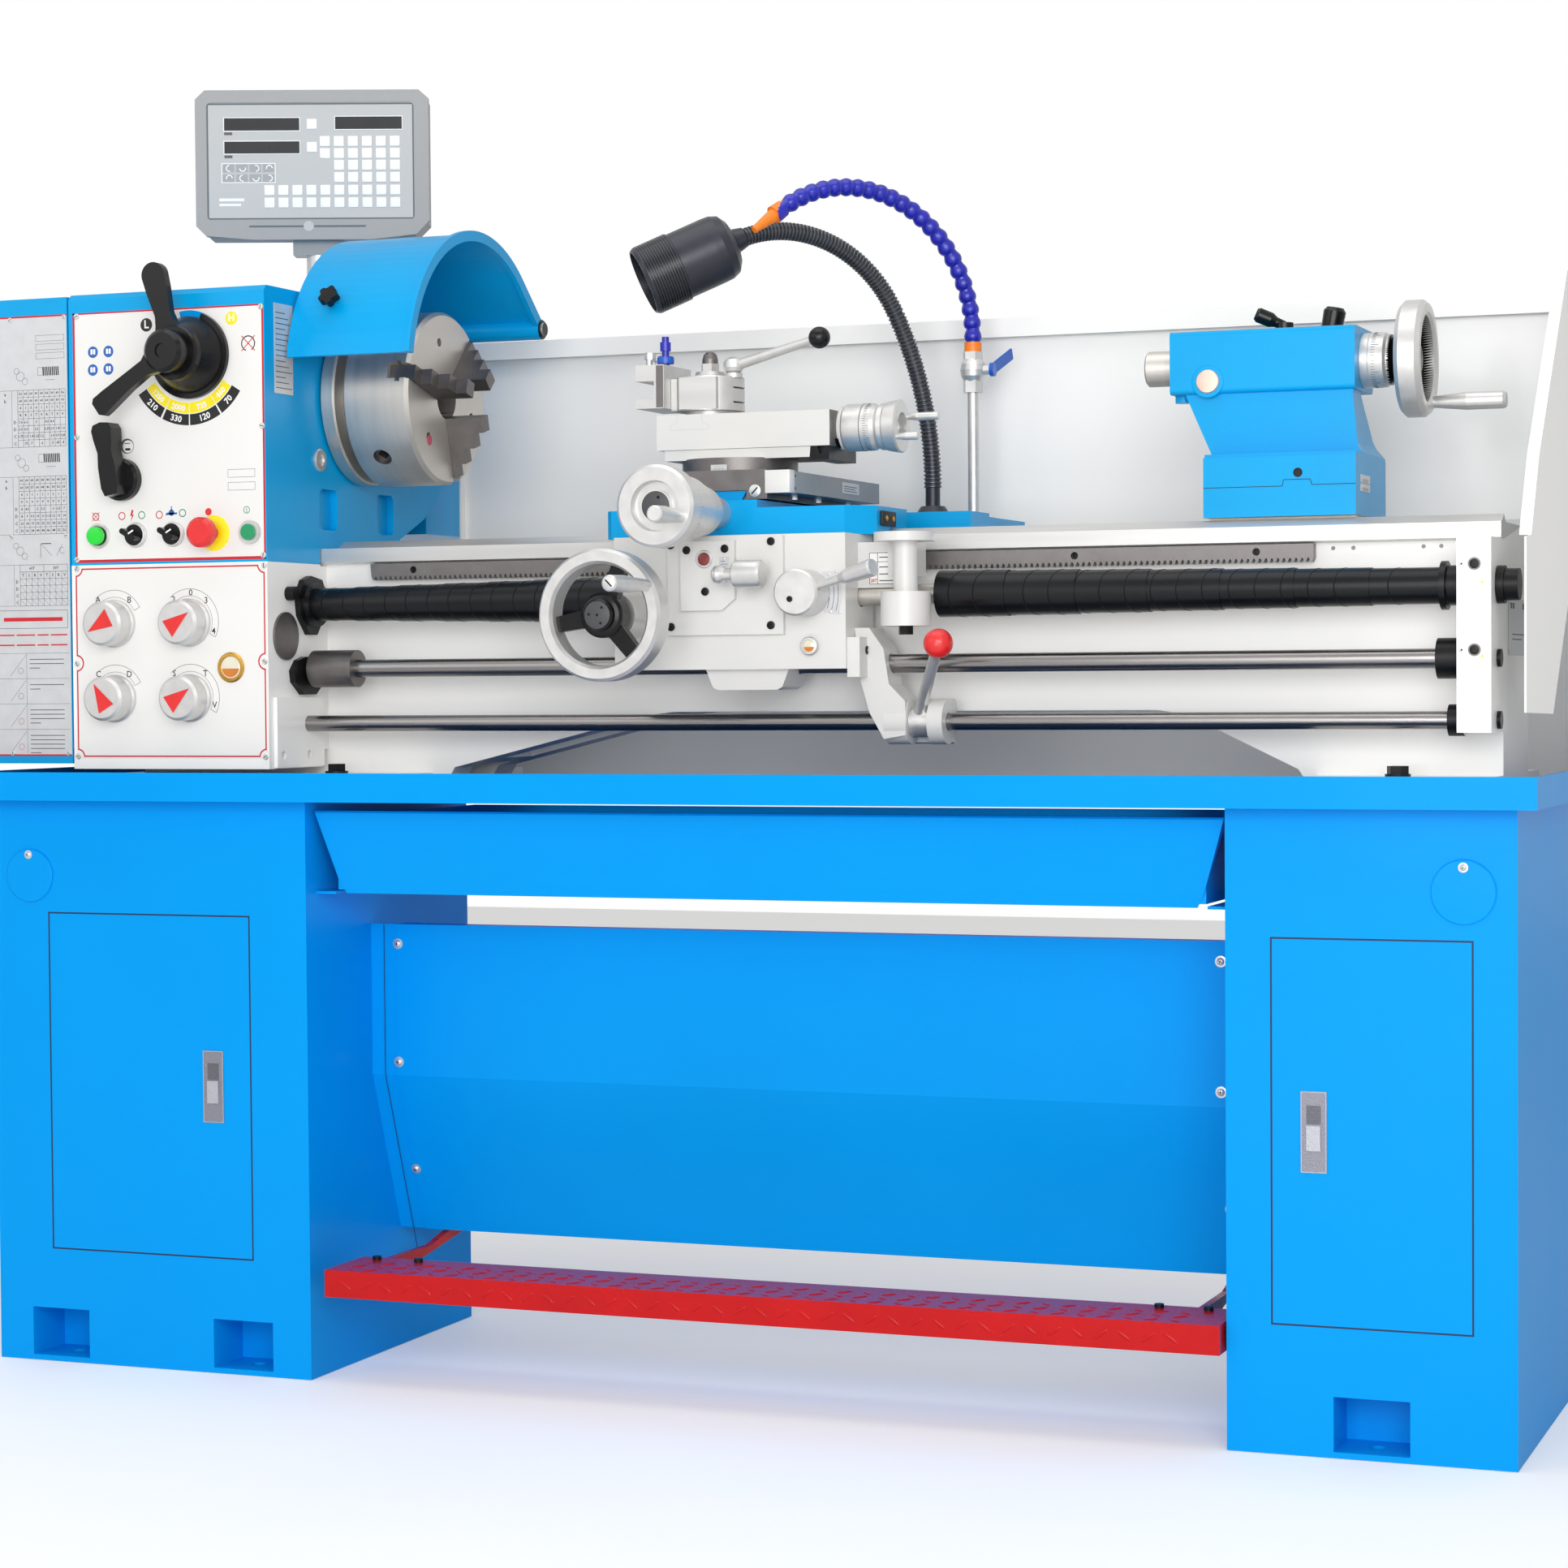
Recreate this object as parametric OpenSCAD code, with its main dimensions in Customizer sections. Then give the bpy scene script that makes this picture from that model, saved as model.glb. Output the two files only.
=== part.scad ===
// Gap-free bench lathe on a two-cabinet steel stand, with chip tray, splash guard and readout.
// Millimetres, +Z up, +X from headstock to tailstock, the operator stands at -Y.
// Origin: on the floor, at the centre of the machine's footprint.

/* [Stand] */
// height of the two sheet-metal cabinets
cab_h = 645; // [640:1:650]
// front-to-back depth of the cabinets
cab_d = 400; // [380:1:410]
// width of the headstock-end cabinet
lcab_w = 406; // [400:1:410]
// width of the tailstock-end cabinet
rcab_w = 289; // [285:1:295]
// clear knee space between the two cabinets
knee_w = 1040; // [1036:1:1044]
// thickness of the cabinet sheet
sheet_t = 3; // [2:0.5:4]
// overall length of the chip tray
tray_w = 1782; // [1776:1:1790]
// height of the chip tray's upstanding rim
tray_rim = 32; // [28:1:34]

/* [Bed and spindle] */
// height of the bed ways above the floor
way_z = 930; // [928:1:932]
// width of the bed across both ways
bed_w = 190; // [186:1:192]
// height of the V-way above the flat ways
vee_h = 8; // [6:1:8]
// centre height, from the flat ways up to the spindle axis
centre_h = 175; // [173:1:178]
// height of the arched gap under the bed
arch_h = 93; // [80:1:96]
// tooth pitch of the rack
rack_pitch = 6.3; // [6:0.1:8]

/* [Chuck] */
// outside diameter of the three-jaw chuck
chuck_d = 200; // [190:1:204]
// length of the chuck body
chuck_l = 83; // [78:1:86]
// distance from the chuck axis to the inner end of each jaw
jaw_in = 22; // [18:1:26]
// angle of the first jaw around the spindle axis
jaw_a0 = 45; // [0:5:115]

/* [Carriage] */
// outside diameter of the carriage handwheel
apron_wheel_d = 140; // [134:1:144]
// outside diameter of the cross-slide handwheel
cross_wheel_d = 86; // [82:1:88]
// angle of the compound slide's tool post lever
post_lever_a = -8; // [-20:1:10]
// number of links in the jointed coolant hose
hose_links = 24; // [20:1:26]

/* [Tailstock] */
// outside diameter of the tailstock quill
quill_d = 38; // [34:1:40]
// outside diameter of the tailstock handwheel
tail_wheel_d = 122; // [118:1:124]

/* [Hidden] */
$fn = 48;
eps = 0.01;
// running clearance on a radius, and clearance between sliding faces
run = 0.05;
gap = 0.3;
// stand
cab_y0 = -250;
cab_y1 = cab_y0 + cab_d;
lcab_x1 = -461;
lcab_x0 = lcab_x1 - lcab_w;
rcab_x0 = lcab_x1 + knee_w;
rcab_x1 = rcab_x0 + rcab_w;
door_z0 = 130;
door_z1 = 516;
ldoor_x0 = -795;
ldoor_x1 = -533;
rdoor_x0 = rcab_x0 + 46;
rdoor_x1 = rdoor_x0 + 200;
tray_z = cab_h;
floor_z = cab_h + sheet_t;
tray_y0 = -280;
tray_y1 = 300;
pedal_y = 60;
pedal_z = 140;
// bed
bed_y0 = -bed_w / 2 - 15;
bed_y1 = bed_w / 2 - 15;
bed_x0 = -760;
bed_x1 = 830;
wall_y0 = bed_y0 + 13;
wall_y1 = bed_y1 - 13;
vee_f = bed_y0 + 18;
vee_r = 36;
// spindle and the three long rods
ax_y = -15;
ax_z = way_z + centre_h;
rod_y = -150;
lead_z = 865;
lead_r = 11;
feed_z = 792;
feed_r = 10;
ctl_z = 730;
ctl_r = 9;
rod_x1 = 793;
// headstock and gearbox
head_x0 = -768;
head_x1 = -514;
head_y0 = -234;
head_y1 = 215;
head_z0 = 912;
head_z1 = 1220;
gear_z0 = 680;
cover_x0 = -883;
cover_y1 = 228;
dial_x = -608;
dial_z = 1145;
dir_x = -698;
dir_z = 1008;
row_z = 945;
knob_xz = [[-712, 845], [-614, 845], [-712, 760], [-614, 760]];
guard_x0 = -511;
guard_x1 = -355;
guard_py = 154;
guard_pz = 1199;
dro_x = -695;
dro_y = 222;
dro_turn = 22;
// chuck
flange_x = head_x1 + 2;
chuck_x0 = flange_x + 30;
chuck_x1 = chuck_x0 + chuck_l;
chuck_r = chuck_d / 2;
// carriage
wheel_x = -79;
wheel_z = 845;
cross_z = 956;
saddle_z0 = way_z + gap;
saddle_z1 = 961;
pad_z1 = 969.5;
slide_z1 = 1003;
pivot_x = -10;
pivot_y = -70;
post_x = -45;
base_z1 = 1028.5;
top_z1 = 1067.5;
crank_z = 1050;
half_x = 118;
half_z = 867;
feedl_x = 62;
feedl_z = 887;
lamp_x = 127;
pipe_x = 177;
rear_y = 190;
// tailstock
tail_x0 = 476;
tail_x1 = 672.5;
quill_r = quill_d / 2;
lock_x = 585;
clamp_x = 616;

// ---- small shared shapes -------------------------------------------------

// a box given by its two corners
module box(x0, x1, y0, y1, z0, z1) {
    translate([x0, y0, z0]) cube([x1 - x0, y1 - y0, z1 - z0]);
}

// round bars along X, Y and Z
module bar_x(r, x0, x1, y, z) {
    translate([x0, y, z]) rotate([0, 90, 0]) cylinder(r = r, h = x1 - x0);
}

module bar_y(r, y0, y1, x, z) {
    translate([x, y0, z]) rotate([-90, 0, 0]) cylinder(r = r, h = y1 - y0);
}

module bar_z(r, z0, z1, x, y) {
    translate([x, y, z0]) cylinder(r = r, h = z1 - z0);
}

// a round bar between two points
module rod(a, b, r1, r2) {
    d = b - a;
    translate(a)
        rotate([0, acos(d[2] / norm(d)), atan2(d[1], d[0])])
            cylinder(r1 = r1, r2 = r2, h = norm(d));
}

// a [Y, Z] outline drawn out along X, and an [X, Z] outline drawn out along Y
module along_x(x0, x1) {
    translate([x0, 0, 0]) rotate([90, 0, 90]) linear_extrude(x1 - x0) children();
}

module along_y(y0, y1) {
    translate([0, y1, 0]) rotate([90, 0, 0]) linear_extrude(y1 - y0) children();
}

// a rectangle with round corners
module round_rect(x0, x1, y0, y1, r) {
    translate([x0 + r, y0]) square([x1 - x0 - 2 * r, y1 - y0]);
    translate([x0, y0 + r]) square([x1 - x0, y1 - y0 - 2 * r]);
    for (x = [x0 + r, x1 - r], y = [y0 + r, y1 - r])
        translate([x, y]) circle(r);
}

// a tapered bar with round ends, from the origin along X
module tapered(l, r1, r2) {
    circle(r1);
    translate([l, 0]) circle(r2);
    polygon([[0, r1], [l, r2], [l, -r2], [0, -r1]]);
}

// a turned solid around an axis along X or Y, from its [radius, distance] outline
module turned_x(x, y, z, outline) {
    translate([x, y, z]) rotate([0, 90, 0]) rotate_extrude() polygon(outline);
}

module turned_y(x, y, z, outline) {
    translate([x, y, z]) rotate([-90, 0, 0]) rotate_extrude() polygon(outline);
}

// a turned solid on an axis of any direction, from its [radius, distance] outline
module turned_on(a, dir, outline) {
    translate(a)
        rotate([0, acos(dir[2] / norm(dir)), atan2(dir[1], dir[0])])
            rotate_extrude() polygon(outline);
}

// a flat spur gear with straight-sided teeth
module gear(r, teeth, w) {
    step = 360 / teeth;
    linear_extrude(w)
        polygon([for (i = [0 : teeth - 1], k = [[0, 0], [0.22, 1], [0.5, 1], [0.72, 0]])
            (r - 4 + 4 * k[1]) * [cos((i + k[0]) * step), sin((i + k[0]) * step)]]);
}

// a trapezoid: half widths at two heights
module dovetail(w0, w1, z0, z1) {
    polygon([[-w0, z0], [w0, z0], [w1, z1], [-w1, z1]]);
}

// ---- stand -----------------------------------------------------------------

// recess in a cabinet's foot, seen from the front, that gives access to a floor bolt
module toe_recess(x0, x1, grow) {
    box(x0 - grow, x1 + grow, cab_y0 - (grow > 0 ? 0 : 1), cab_y0 + 64 + grow, 6, 61 + grow);
}

// sheet-metal cabinet with a door opening, a ring ledge behind the door and foot recesses
module cabinet(x0, x1, dx0, dx1, toes) {
    difference() {
        union() {
            difference() {
                box(x0, x1, cab_y0, cab_y1, 0, cab_h);
                box(x0 + sheet_t, x1 - sheet_t, cab_y0 + sheet_t, cab_y1 - sheet_t,
                    6, cab_h - sheet_t);
            }
            for (t = toes)
                toe_recess(t[0], t[1], sheet_t);
            difference() {
                box(dx0 - 14, dx1 + 14, cab_y0 + sheet_t, cab_y0 + 2 * sheet_t,
                    door_z0 - 14, door_z1 + 14);
                box(dx0 + 10, dx1 - 10, cab_y0, cab_y0 + 20, door_z0 + 10, door_z1 - 10);
            }
        }
        box(dx0, dx1, cab_y0 - 1, cab_y0 + sheet_t, door_z0, door_z1);
        for (t = toes) {
            toe_recess(t[0], t[1], 0);
            bar_z(8, -1, 20, (t[0] + t[1]) / 2, cab_y0 + 34);
        }
    }
}

// angle that carries the chip drawer, along a cabinet's side
module drawer_rail(x0, x1) {
    box(x0, x1, cab_y0 + 25, cab_y1 - 20, 541, 544);
}

// bearing boss for the pedal's cross shaft
module pedal_boss(x0, x1) {
    difference() {
        bar_x(16, x0, x1, pedal_y, pedal_z);
        bar_x(8 + run, x0 - 1, x1 + 1, pedal_y, pedal_z);
    }
}

module left_cabinet() {
    color("dodgerblue") {
        cabinet(lcab_x0, lcab_x1, ldoor_x0, ldoor_x1, [[-823, -748], [-585, -509]]);
        drawer_rail(lcab_x1, lcab_x1 + 24);
        pedal_boss(lcab_x1, lcab_x1 + 14);
    }
}

module right_cabinet() {
    mid = rcab_x0 + 146;
    color("dodgerblue") {
        cabinet(rcab_x0, rcab_x1, rdoor_x0, rdoor_x1, [[mid - 38, mid + 38]]);
        drawer_rail(rcab_x0 - 24, rcab_x0);
        pedal_boss(rcab_x0 - 14, rcab_x0);
    }
    // coolant tank with its pump
    color("dodgerblue") {
        box(rcab_x0 + 20, rcab_x1 - 20, cab_y0 + 75, cab_y1 - 30, 6, 200);
        bar_z(58, 200, 208, mid, -20);
        bar_z(44, 208, 300, mid, -20);
        bar_z(36, 300, 312, mid, -20);
    }
}

module chip_tray() {
    h = tray_w / 2;
    color("dodgerblue")
        difference() {
            box(-h, h, tray_y0, tray_y1, tray_z, tray_z + tray_rim);
            box(-h + sheet_t, h - sheet_t, tray_y0 + sheet_t, tray_y1 - sheet_t,
                floor_z, tray_z + tray_rim + 1);
            box(-330, 450, -95, 60, tray_z - 1, floor_z + 1);
        }
}

// knee panel, bent back toward the floor, on two side brackets
module front_panel() {
    t = 2;
    bend = [[-100, 499], [-100, 325], [-34, 138]];
    color("dodgerblue") {
        along_x(lcab_x1 + 33, rcab_x0 - 31) polygon([
            bend[0], bend[1], bend[2], bend[2] + [t, 0.5], bend[1] + [t, 0.4],
            bend[0] + [t, -t], bend[0] + [22, -t], bend[0] + [22, 0]]);
        for (x = [lcab_x1, rcab_x0 - 50])
            along_x(x, x + 50) polygon([
                bend[0] + [t, 0], bend[1] + [t, 0.4], bend[2] + [t, 0.5],
                bend[2] + [2 * t, 1], bend[1] + [2 * t, 1], bend[0] + [2 * t, 0]]);
    }
}

// one flush door: a panel with a return edge and a latch paddle
module door(x0, x1, latch_x, hinge_x) {
    g = 0.5;
    r = 1.2;
    color("dodgerblue")
        difference() {
            union() {
                box(x0 + (hinge_x < latch_x ? g + r : g), x1 - (hinge_x > latch_x ? g + r : g),
                    cab_y0, cab_y0 + 2 * r, door_z0 + g, door_z1 - g);
                bar_z(r, door_z0 + g, door_z1 - g, hinge_x, cab_y0 + r);
            }
            box(latch_x - 12, latch_x + 12, cab_y0 - 1, cab_y0 + 3, 284, 363);
        }
    color("gray") {
        box(latch_x - 13, latch_x + 13, cab_y0 - 1, cab_y0 + 0.5, 283, 364);
        box(latch_x - 11, latch_x + 11, cab_y0 - 1, cab_y0 + 8, 284, 363);
        box(latch_x - 7, latch_x + 7, cab_y0 - 3, cab_y0 + 1, 305, 330);
    }
}

module left_door() {
    door(ldoor_x0, ldoor_x1, -581, ldoor_x0 + 1.7);
}

module right_door() {
    door(rdoor_x0, rdoor_x1, rdoor_x0 + 43, rdoor_x1 - 1.7);
}

// red tread across the knee space, on two arms from a cross shaft
module brake_pedal() {
    x0 = lcab_x1 + 28;
    x1 = rcab_x0 - 3;
    color("red") {
        difference() {
            box(x0, x1, -268, -176, 98, 128);
            box(x0 + 3, x1 - 3, -265, -172, 97, 125);
        }
        for (x = [x0 + 18, x1 - 48]) {
            along_x(x, x + 8) polygon([[-250, 125], [-250, 108], [-172, 100],
                [pedal_y - 12, 132], [pedal_y + 4, 126], [pedal_y + 14, 140],
                [pedal_y, 150], [-60, 124], [-172, 125]]);
            bar_x(15, x - 6, x + 14, pedal_y, pedal_z);
        }
    }
    color("silver") bar_x(8, lcab_x1 + 1, rcab_x0 - 1, pedal_y, pedal_z);
    color("black")
        for (x = [x0 + 24, x0 + 76, x1 - 82, x1 - 30])
            bar_z(5, 127, 132, x, -190);
}

// chip drawer: a shallow trough behind a sloped front
module chip_drawer() {
    x0 = lcab_x1 + 26;
    x1 = rcab_x0 - 26;
    color("dodgerblue") {
        difference() {
            box(x0, x1, -222, cab_y1 - 30, 546, 628);
            box(x0 + 2, x1 - 2, -220, cab_y1 - 32, 548, 629);
        }
        difference() {
            along_x(lcab_x1 + 4, rcab_x0 - 4)
                polygon([[-236, 632], [-234, 634], [-222, 634], [-222, 556], [-219, 542],
                    [-221, 542], [-224, 556]]);
            // the ends slope in toward the bottom
            for (m = [[lcab_x1 + 4, 1], [rcab_x0 - 4, -1]])
                along_y(-240, -210) polygon([[m[0] - m[1], 636], [m[0], 634],
                    [m[0] + m[1] * 24, 556], [m[0] + m[1] * 34, 538], [m[0] - m[1], 538]]);
        }
    }
}

// ---- bed and fixed castings ---------------------------------------------------

// the bed's section: two ways on two walls, a V on each way
module bed_section() {
    polygon([[bed_y0, way_z], [bed_y0, way_z - 16], [wall_y0, way_z - 18],
        [wall_y0, floor_z], [wall_y1, floor_z], [wall_y1, way_z - 18],
        [bed_y1, way_z - 16], [bed_y1, way_z],
        [vee_r + 13, way_z], [vee_r, way_z + vee_h], [vee_r - 13, way_z],
        [vee_f + 13, way_z], [vee_f, way_z + vee_h], [vee_f - 13, way_z]]);
}

module bed() {
    top = floor_z + arch_h;
    color("whitesmoke")
        difference() {
            union() {
                difference() {
                    along_x(bed_x0, bed_x1) bed_section();
                    // the headstock's seat is flat
                    box(bed_x0 - 1, head_x1 + 20, bed_y0 - 1, bed_y1 + 1, way_z, way_z + 20);
                }
                // bolting flanges at the two feet
                box(bed_x0, -380, -172, 140, floor_z, floor_z + 25);
                box(640, bed_x1, -172, 140, floor_z, floor_z + 25);
            }
            // the arch between the feet
            along_y(bed_y0 - 1, bed_y1 + 1) polygon([
                [-372, floor_z - 1], [-352, top - 62], [-112, top - 4], [-82, top],
                [470, top], [502, top - 5], [620, top - 62], [640, floor_z - 1]]);
            // chip openings between the cross ribs
            for (x = [-470 : 160 : 650])
                box(x, x + 136, -50, 18, floor_z - 1, way_z + 20);
            box(-490, 800, -50, 18, way_z - 42, way_z + 20);
            // holes for the floor bolts
            for (x = [-475, 733], y = [-150, 110])
                bar_z(7, floor_z - 1, floor_z + 30, x, y);
        }
    color("black")
        for (x = [-475, 733]) {
            bar_z(6.9, floor_z, floor_z + 27, x, -150);
            bar_z(13, floor_z + 25, floor_z + 28, x, -150);
            translate([x, -150, floor_z + 28]) cylinder(r = 11, h = 8, $fn = 6);
        }
}

// toothed rack in three lengths, under the front way
module rack() {
    z0 = way_z - 37;
    z1 = way_z - 18.5;
    n = floor(1092 / rack_pitch);
    x0 = -451;
    p = rack_pitch;
    color("silver")
        difference() {
            along_y(wall_y0 - 12, wall_y0 - eps)
                polygon(concat([[x0, z1], [x0 + n * p, z1]],
                    [for (i = [n - 1 : -1 : 0], k = [[1, 0], [0.72, 1], [0.5, 1], [0.22, 0]])
                        [x0 + (i + k[0]) * p, z0 + 4 * (1 - k[1])]]));
            for (i = [0 : 5])
                bar_y(4, wall_y0 - 13, wall_y0 - 6, x0 + 55 + 195 * i, way_z - 26);
        }
}

module head_section() {
    polygon([[head_y0, head_z0], [bed_y0 - 2, head_z0], [bed_y0 - 2, way_z], [bed_y1, way_z],
        [bed_y1 + 6, way_z + 18], [150, 975], [head_y1, 1030], [head_y1, head_z1 - 6],
        [head_y1 - 6, head_z1], [head_y0 + 6, head_z1], [head_y0, head_z1 - 6]]);
}

// selector switch with a bar grip, turned by an angle
module selector(x, a) {
    bar_y(12, head_y0 - 6, head_y0, x, row_z);
    translate([x, head_y0 - 6, row_z]) rotate([90, a, 0]) linear_extrude(14)
        translate([-8, 0]) tapered(16, 3.2, 3.2);
}

module headstock() {
    color("dodgerblue")
        difference() {
            along_x(head_x0, head_x1) head_section();
            bar_x(30 + run, head_x0 - 1, head_x1 + 1, ax_y, ax_z);
            // shallow pockets low on the chuck side
            for (y = [-112, 28])
                translate([0, y, 952]) along_x(head_x1 - 9, head_x1 + 1)
                    round_rect(0, 42, 0, 47, 8);
            // round screw-down hole in the first pocket
            bar_x(4.5, head_x1 - 22, head_x1 - 8, -106, 961);
            // bores for the control shafts
            bar_y(14 + run, head_y0 - 1, head_y0 + 36, dial_x, dial_z);
            bar_y(8 + run, head_y0 - 1, head_y0 + 46, dial_x, dial_z);
            bar_y(8 + run, head_y0 - 1, head_y0 + 30, dir_x, dir_z);
            bar_y(8 + run, head_y0 - 1, head_y0 + 24, -583, row_z);
            bar_y(9 + run, head_y0 - 1, head_y0 + 24, -534, row_z);
        }
    color("silver") {
        // front bearing cover
        difference() {
            bar_x(52, head_x1, head_x1 + 1.6, ax_y, ax_z);
            bar_x(30 + run, head_x1 - 1, head_x1 + 3, ax_y, ax_z);
        }
        bar_x(8, head_x1 - 10, guard_x1 + 4, guard_py, guard_pz);
        // ring of the start button
        difference() {
            bar_y(13, head_y0 - 5, head_y0, -534, row_z);
            bar_y(9 + run, head_y0 - 6, head_y0 + 1, -534, row_z);
        }
    }
    color("black") {
        selector(-682, 30);
        selector(-633, 30);
        bar_y(11, head_y0 - 5, head_y0, -731, row_z);
    }
    // electrical box behind the headstock, and the post that carries the readout
    color("dodgerblue") {
        box(-756, -545, head_y1, 384, 960, 1196);
        box(-751, -550, 383, 386, 965, 1191);
    }
    color("gray") {
        box(dro_x - 22, dro_x + 22, head_y1, head_y1 + 26, 1197, 1216);
        bar_z(11, 1200, 1299, dro_x, dro_y);
        translate([dro_x, dro_y, 1216]) cylinder(r1 = 22, r2 = 11, h = 22);
    }
}

// a bearing flange on the gearbox's side, from its [Y, Z] outline
module rod_flange(outline, z, bore) {
    difference() {
        along_x(head_x1 - 1, head_x1 + 7) polygon(outline);
        bar_x(bore, head_x1 - 2, head_x1 + 10, rod_y, z);
    }
}

module feed_gearbox() {
    color("whitesmoke")
        difference() {
            union() {
                box(head_x0, head_x1, head_y0, bed_y0 - 2, gear_z0, head_z0);
                box(head_x0 + 20, head_x1, bed_y0 - 2, wall_y0, gear_z0 + 20, way_z - 20);
                // raised pad low on the side
                box(head_x1 - 1, head_x1 + 4, -222, -114, gear_z0 + 1, 760);
            }
            for (k = knob_xz)
                bar_y(6 + run, head_y0 - 1, head_y0 + 30, k[0], k[1]);
            bar_x(lead_r + run, head_x1 - 40, head_x1 + 1, rod_y, lead_z);
            bar_x(feed_r + run, head_x1 - 40, head_x1 + 1, rod_y, feed_z);
            bar_x(ctl_r + run, head_x1 - 40, head_x1 + 1, rod_y, ctl_z);
            bar_x(ctl_r + run, head_x1 - 1, head_x1 + 5, rod_y, ctl_z);
            // bolt holes low on the side
            for (y = [-208, -149])
                bar_x(5, head_x1 - 12, head_x1 + 5, y, gear_z0 + 15);
        }
    color("black") {
        rod_flange([[-174, 874], [-162, 893], [-146, 898], [-120, 894], [-114, 884],
            [-116, 852], [-133, 831], [-150, 831], [-170, 852]], lead_z, lead_r + run);
        rod_flange([[-188, 790], [-176, 802], [-160, 806], [-132, 805], [-116, 793],
            [-119, 776], [-137, 763], [-165, 763], [-185, 777]], feed_z, feed_r + run);
        bar_x(8, head_x1 - 1, head_x1 + 11, -188, 877);
        bar_x(27, head_x1 - 1, head_x1 + 3, -196, 829);
    }
}

// rear sheet with a folded rim and a wing at the tailstock end
module splash_guard() {
    x0 = -520;
    x1 = 873;
    y = 270;
    z1 = 1198;
    color("white") {
        box(x0, x1, y, y + 2, floor_z, z1);
        box(x0, x1, y - 12, y + 2, z1 - 2, z1);
        box(x0, x1, y - 12, y - 10, z1 - 22, z1);
        box(x0, x0 + 2, y - 12, y + 2, floor_z, z1);
        box(x0, x1, y, y + 20, floor_z, floor_z + 2);
        // wing that reaches forward past the end of the bed, with a folded slanting edge
        along_x(x1 - 2, x1) polygon([[y + 2, floor_z], [y + 2, z1], [52, z1], [-144, 993],
            [-195, 912], [-227, 909], [-228, 738], [-50, 735], [58, 850], [78, 850],
            [78, floor_z]]);
        along_x(x1 - 12, x1) polygon([[54, z1], [52, z1], [-144, 993], [-195, 912],
            [-193, 912], [-142, 993]]);
    }
}

// casting that carries the tail ends of the three rods
module end_bracket() {
    color("whitesmoke")
        difference() {
            union() {
                box(rod_x1 + 6, rod_x1 + 40, -190, wall_y0, 718, 911.7);
                bar_x(20, rod_x1 - 8, rod_x1 + 8, rod_y, lead_z);
            }
            bar_x(lead_r + run, rod_x1 - 30, rod_x1 + 41, rod_y, lead_z);
            bar_x(feed_r + run, rod_x1 - 30, rod_x1 + 30, rod_y, feed_z);
            bar_x(ctl_r + run, rod_x1 - 30, rod_x1 + 30, rod_y, ctl_z);
            for (z = [885, 800])
                bar_y(5.5, -191, -182, rod_x1 + 23, z);
        }
    color("black")
        difference() {
            union() {
                bar_x(20.5, rod_x1 - 19, rod_x1 + 8, rod_y, feed_z);
                bar_x(16, rod_x1 - 8, rod_x1 + 8, rod_y, ctl_z);
                bar_x(9, rod_x1 + 40, rod_x1 + 44, rod_y, feed_z);
                bar_x(9, rod_x1 + 40, rod_x1 + 44, rod_y, ctl_z);
            }
            bar_x(feed_r + run, rod_x1 - 30, rod_x1 + 9, rod_y, feed_z);
            bar_x(ctl_r + run, rod_x1 - 30, rod_x1 + 9, rod_y, ctl_z);
        }
}

// main motor behind the bed, under the headstock
module motor() {
    y = 158;
    z = 800;
    color("gray") {
        bar_x(72, -740, -560, y, z);
        turned_x(-560, y, z, [[0, 0], [74, 0], [74, 26], [66, 36], [0, 36]]);
        bar_x(50, -752, -740, y, z);
        for (a = [0 : 15 : 345])
            translate([-735, y, z]) rotate([a, 0, 0]) box(0, 165, -1.2, 1.2, 60, 77);
        box(-720, -660, y + 60, y + 105, z - 30, z + 40);
        box(-720, -580, y - 14, y + 60, floor_z, z - 58);
        bar_x(11, -838, -752, y, z);
    }
}

// end gearing behind the cover: belt drive to the headstock and change gears to the gearbox
module end_train() {
    my = 158;
    mz = 800;
    iy = 120;
    iz = 1122;
    gears = [[-60, 1038, 40, 32], [-96, 941, 60, 48], [-150, 842, 50, 40]];
    color("black") {
        difference() {
            turned_x(-862, iy, iz, [[0, 0], [76, 0], [70, 6], [76, 12], [70, 18], [76, 24],
                [30, 24], [30, 30], [0, 30]]);
            for (a = [0 : 72 : 288])
                translate([0, iy, iz]) rotate([a, 0, 0]) bar_x(12, -863, -830, 0, 50);
        }
        turned_x(-862, my, mz, [[0, 0], [40, 0], [34, 6], [40, 12], [34, 18], [40, 24],
            [0, 24]]);
        // a pair of belts between the pulleys
        for (x = [-859, -847])
            along_x(x, x + 6) difference() {
                belt_loop(my, mz, 40, iy, iz, 76);
                belt_loop(my, mz, 34, iy, iz, 70);
            }
    }
    color("silver") {
        bar_x(14, -838, head_x0, iy, iz);
        for (g = gears)
            difference() {
                union() {
                    translate([-800, g[0], g[1]]) rotate([90, 0, 90]) gear(g[2], g[3], 16);
                    bar_x(12, -806, head_x0, g[0], g[1]);
                }
                bar_x(4, -807, -790, g[0], g[1]);
            }
        // slotted quadrant that carries the middle gear
        difference() {
            along_x(-780, head_x0) union() {
                translate([-150, 842]) circle(30);
                translate([-96, 941]) circle(26);
                polygon([[-180, 842], [-122, 941], [-70, 945], [-122, 842]]);
            }
            bar_x(7, -781, head_x0 + 1, -112, 900);
        }
    }
}

// outline of a belt around two pulleys, in [Y, Z]
module belt_loop(y0, z0, r0, y1, z1, r1) {
    a = atan2(z1 - z0, y1 - y0);
    b = acos((r0 - r1) / norm([y1 - y0, z1 - z0]));
    translate([y0, z0]) circle(r0);
    translate([y1, z1]) circle(r1);
    polygon([for (k = [[y0, z0, r0, 1], [y1, z1, r1, 1], [y1, z1, r1, -1], [y0, z0, r0, -1]])
        [k[0] + k[2] * cos(a + k[3] * b), k[1] + k[2] * sin(a + k[3] * b)]]);
}

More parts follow.
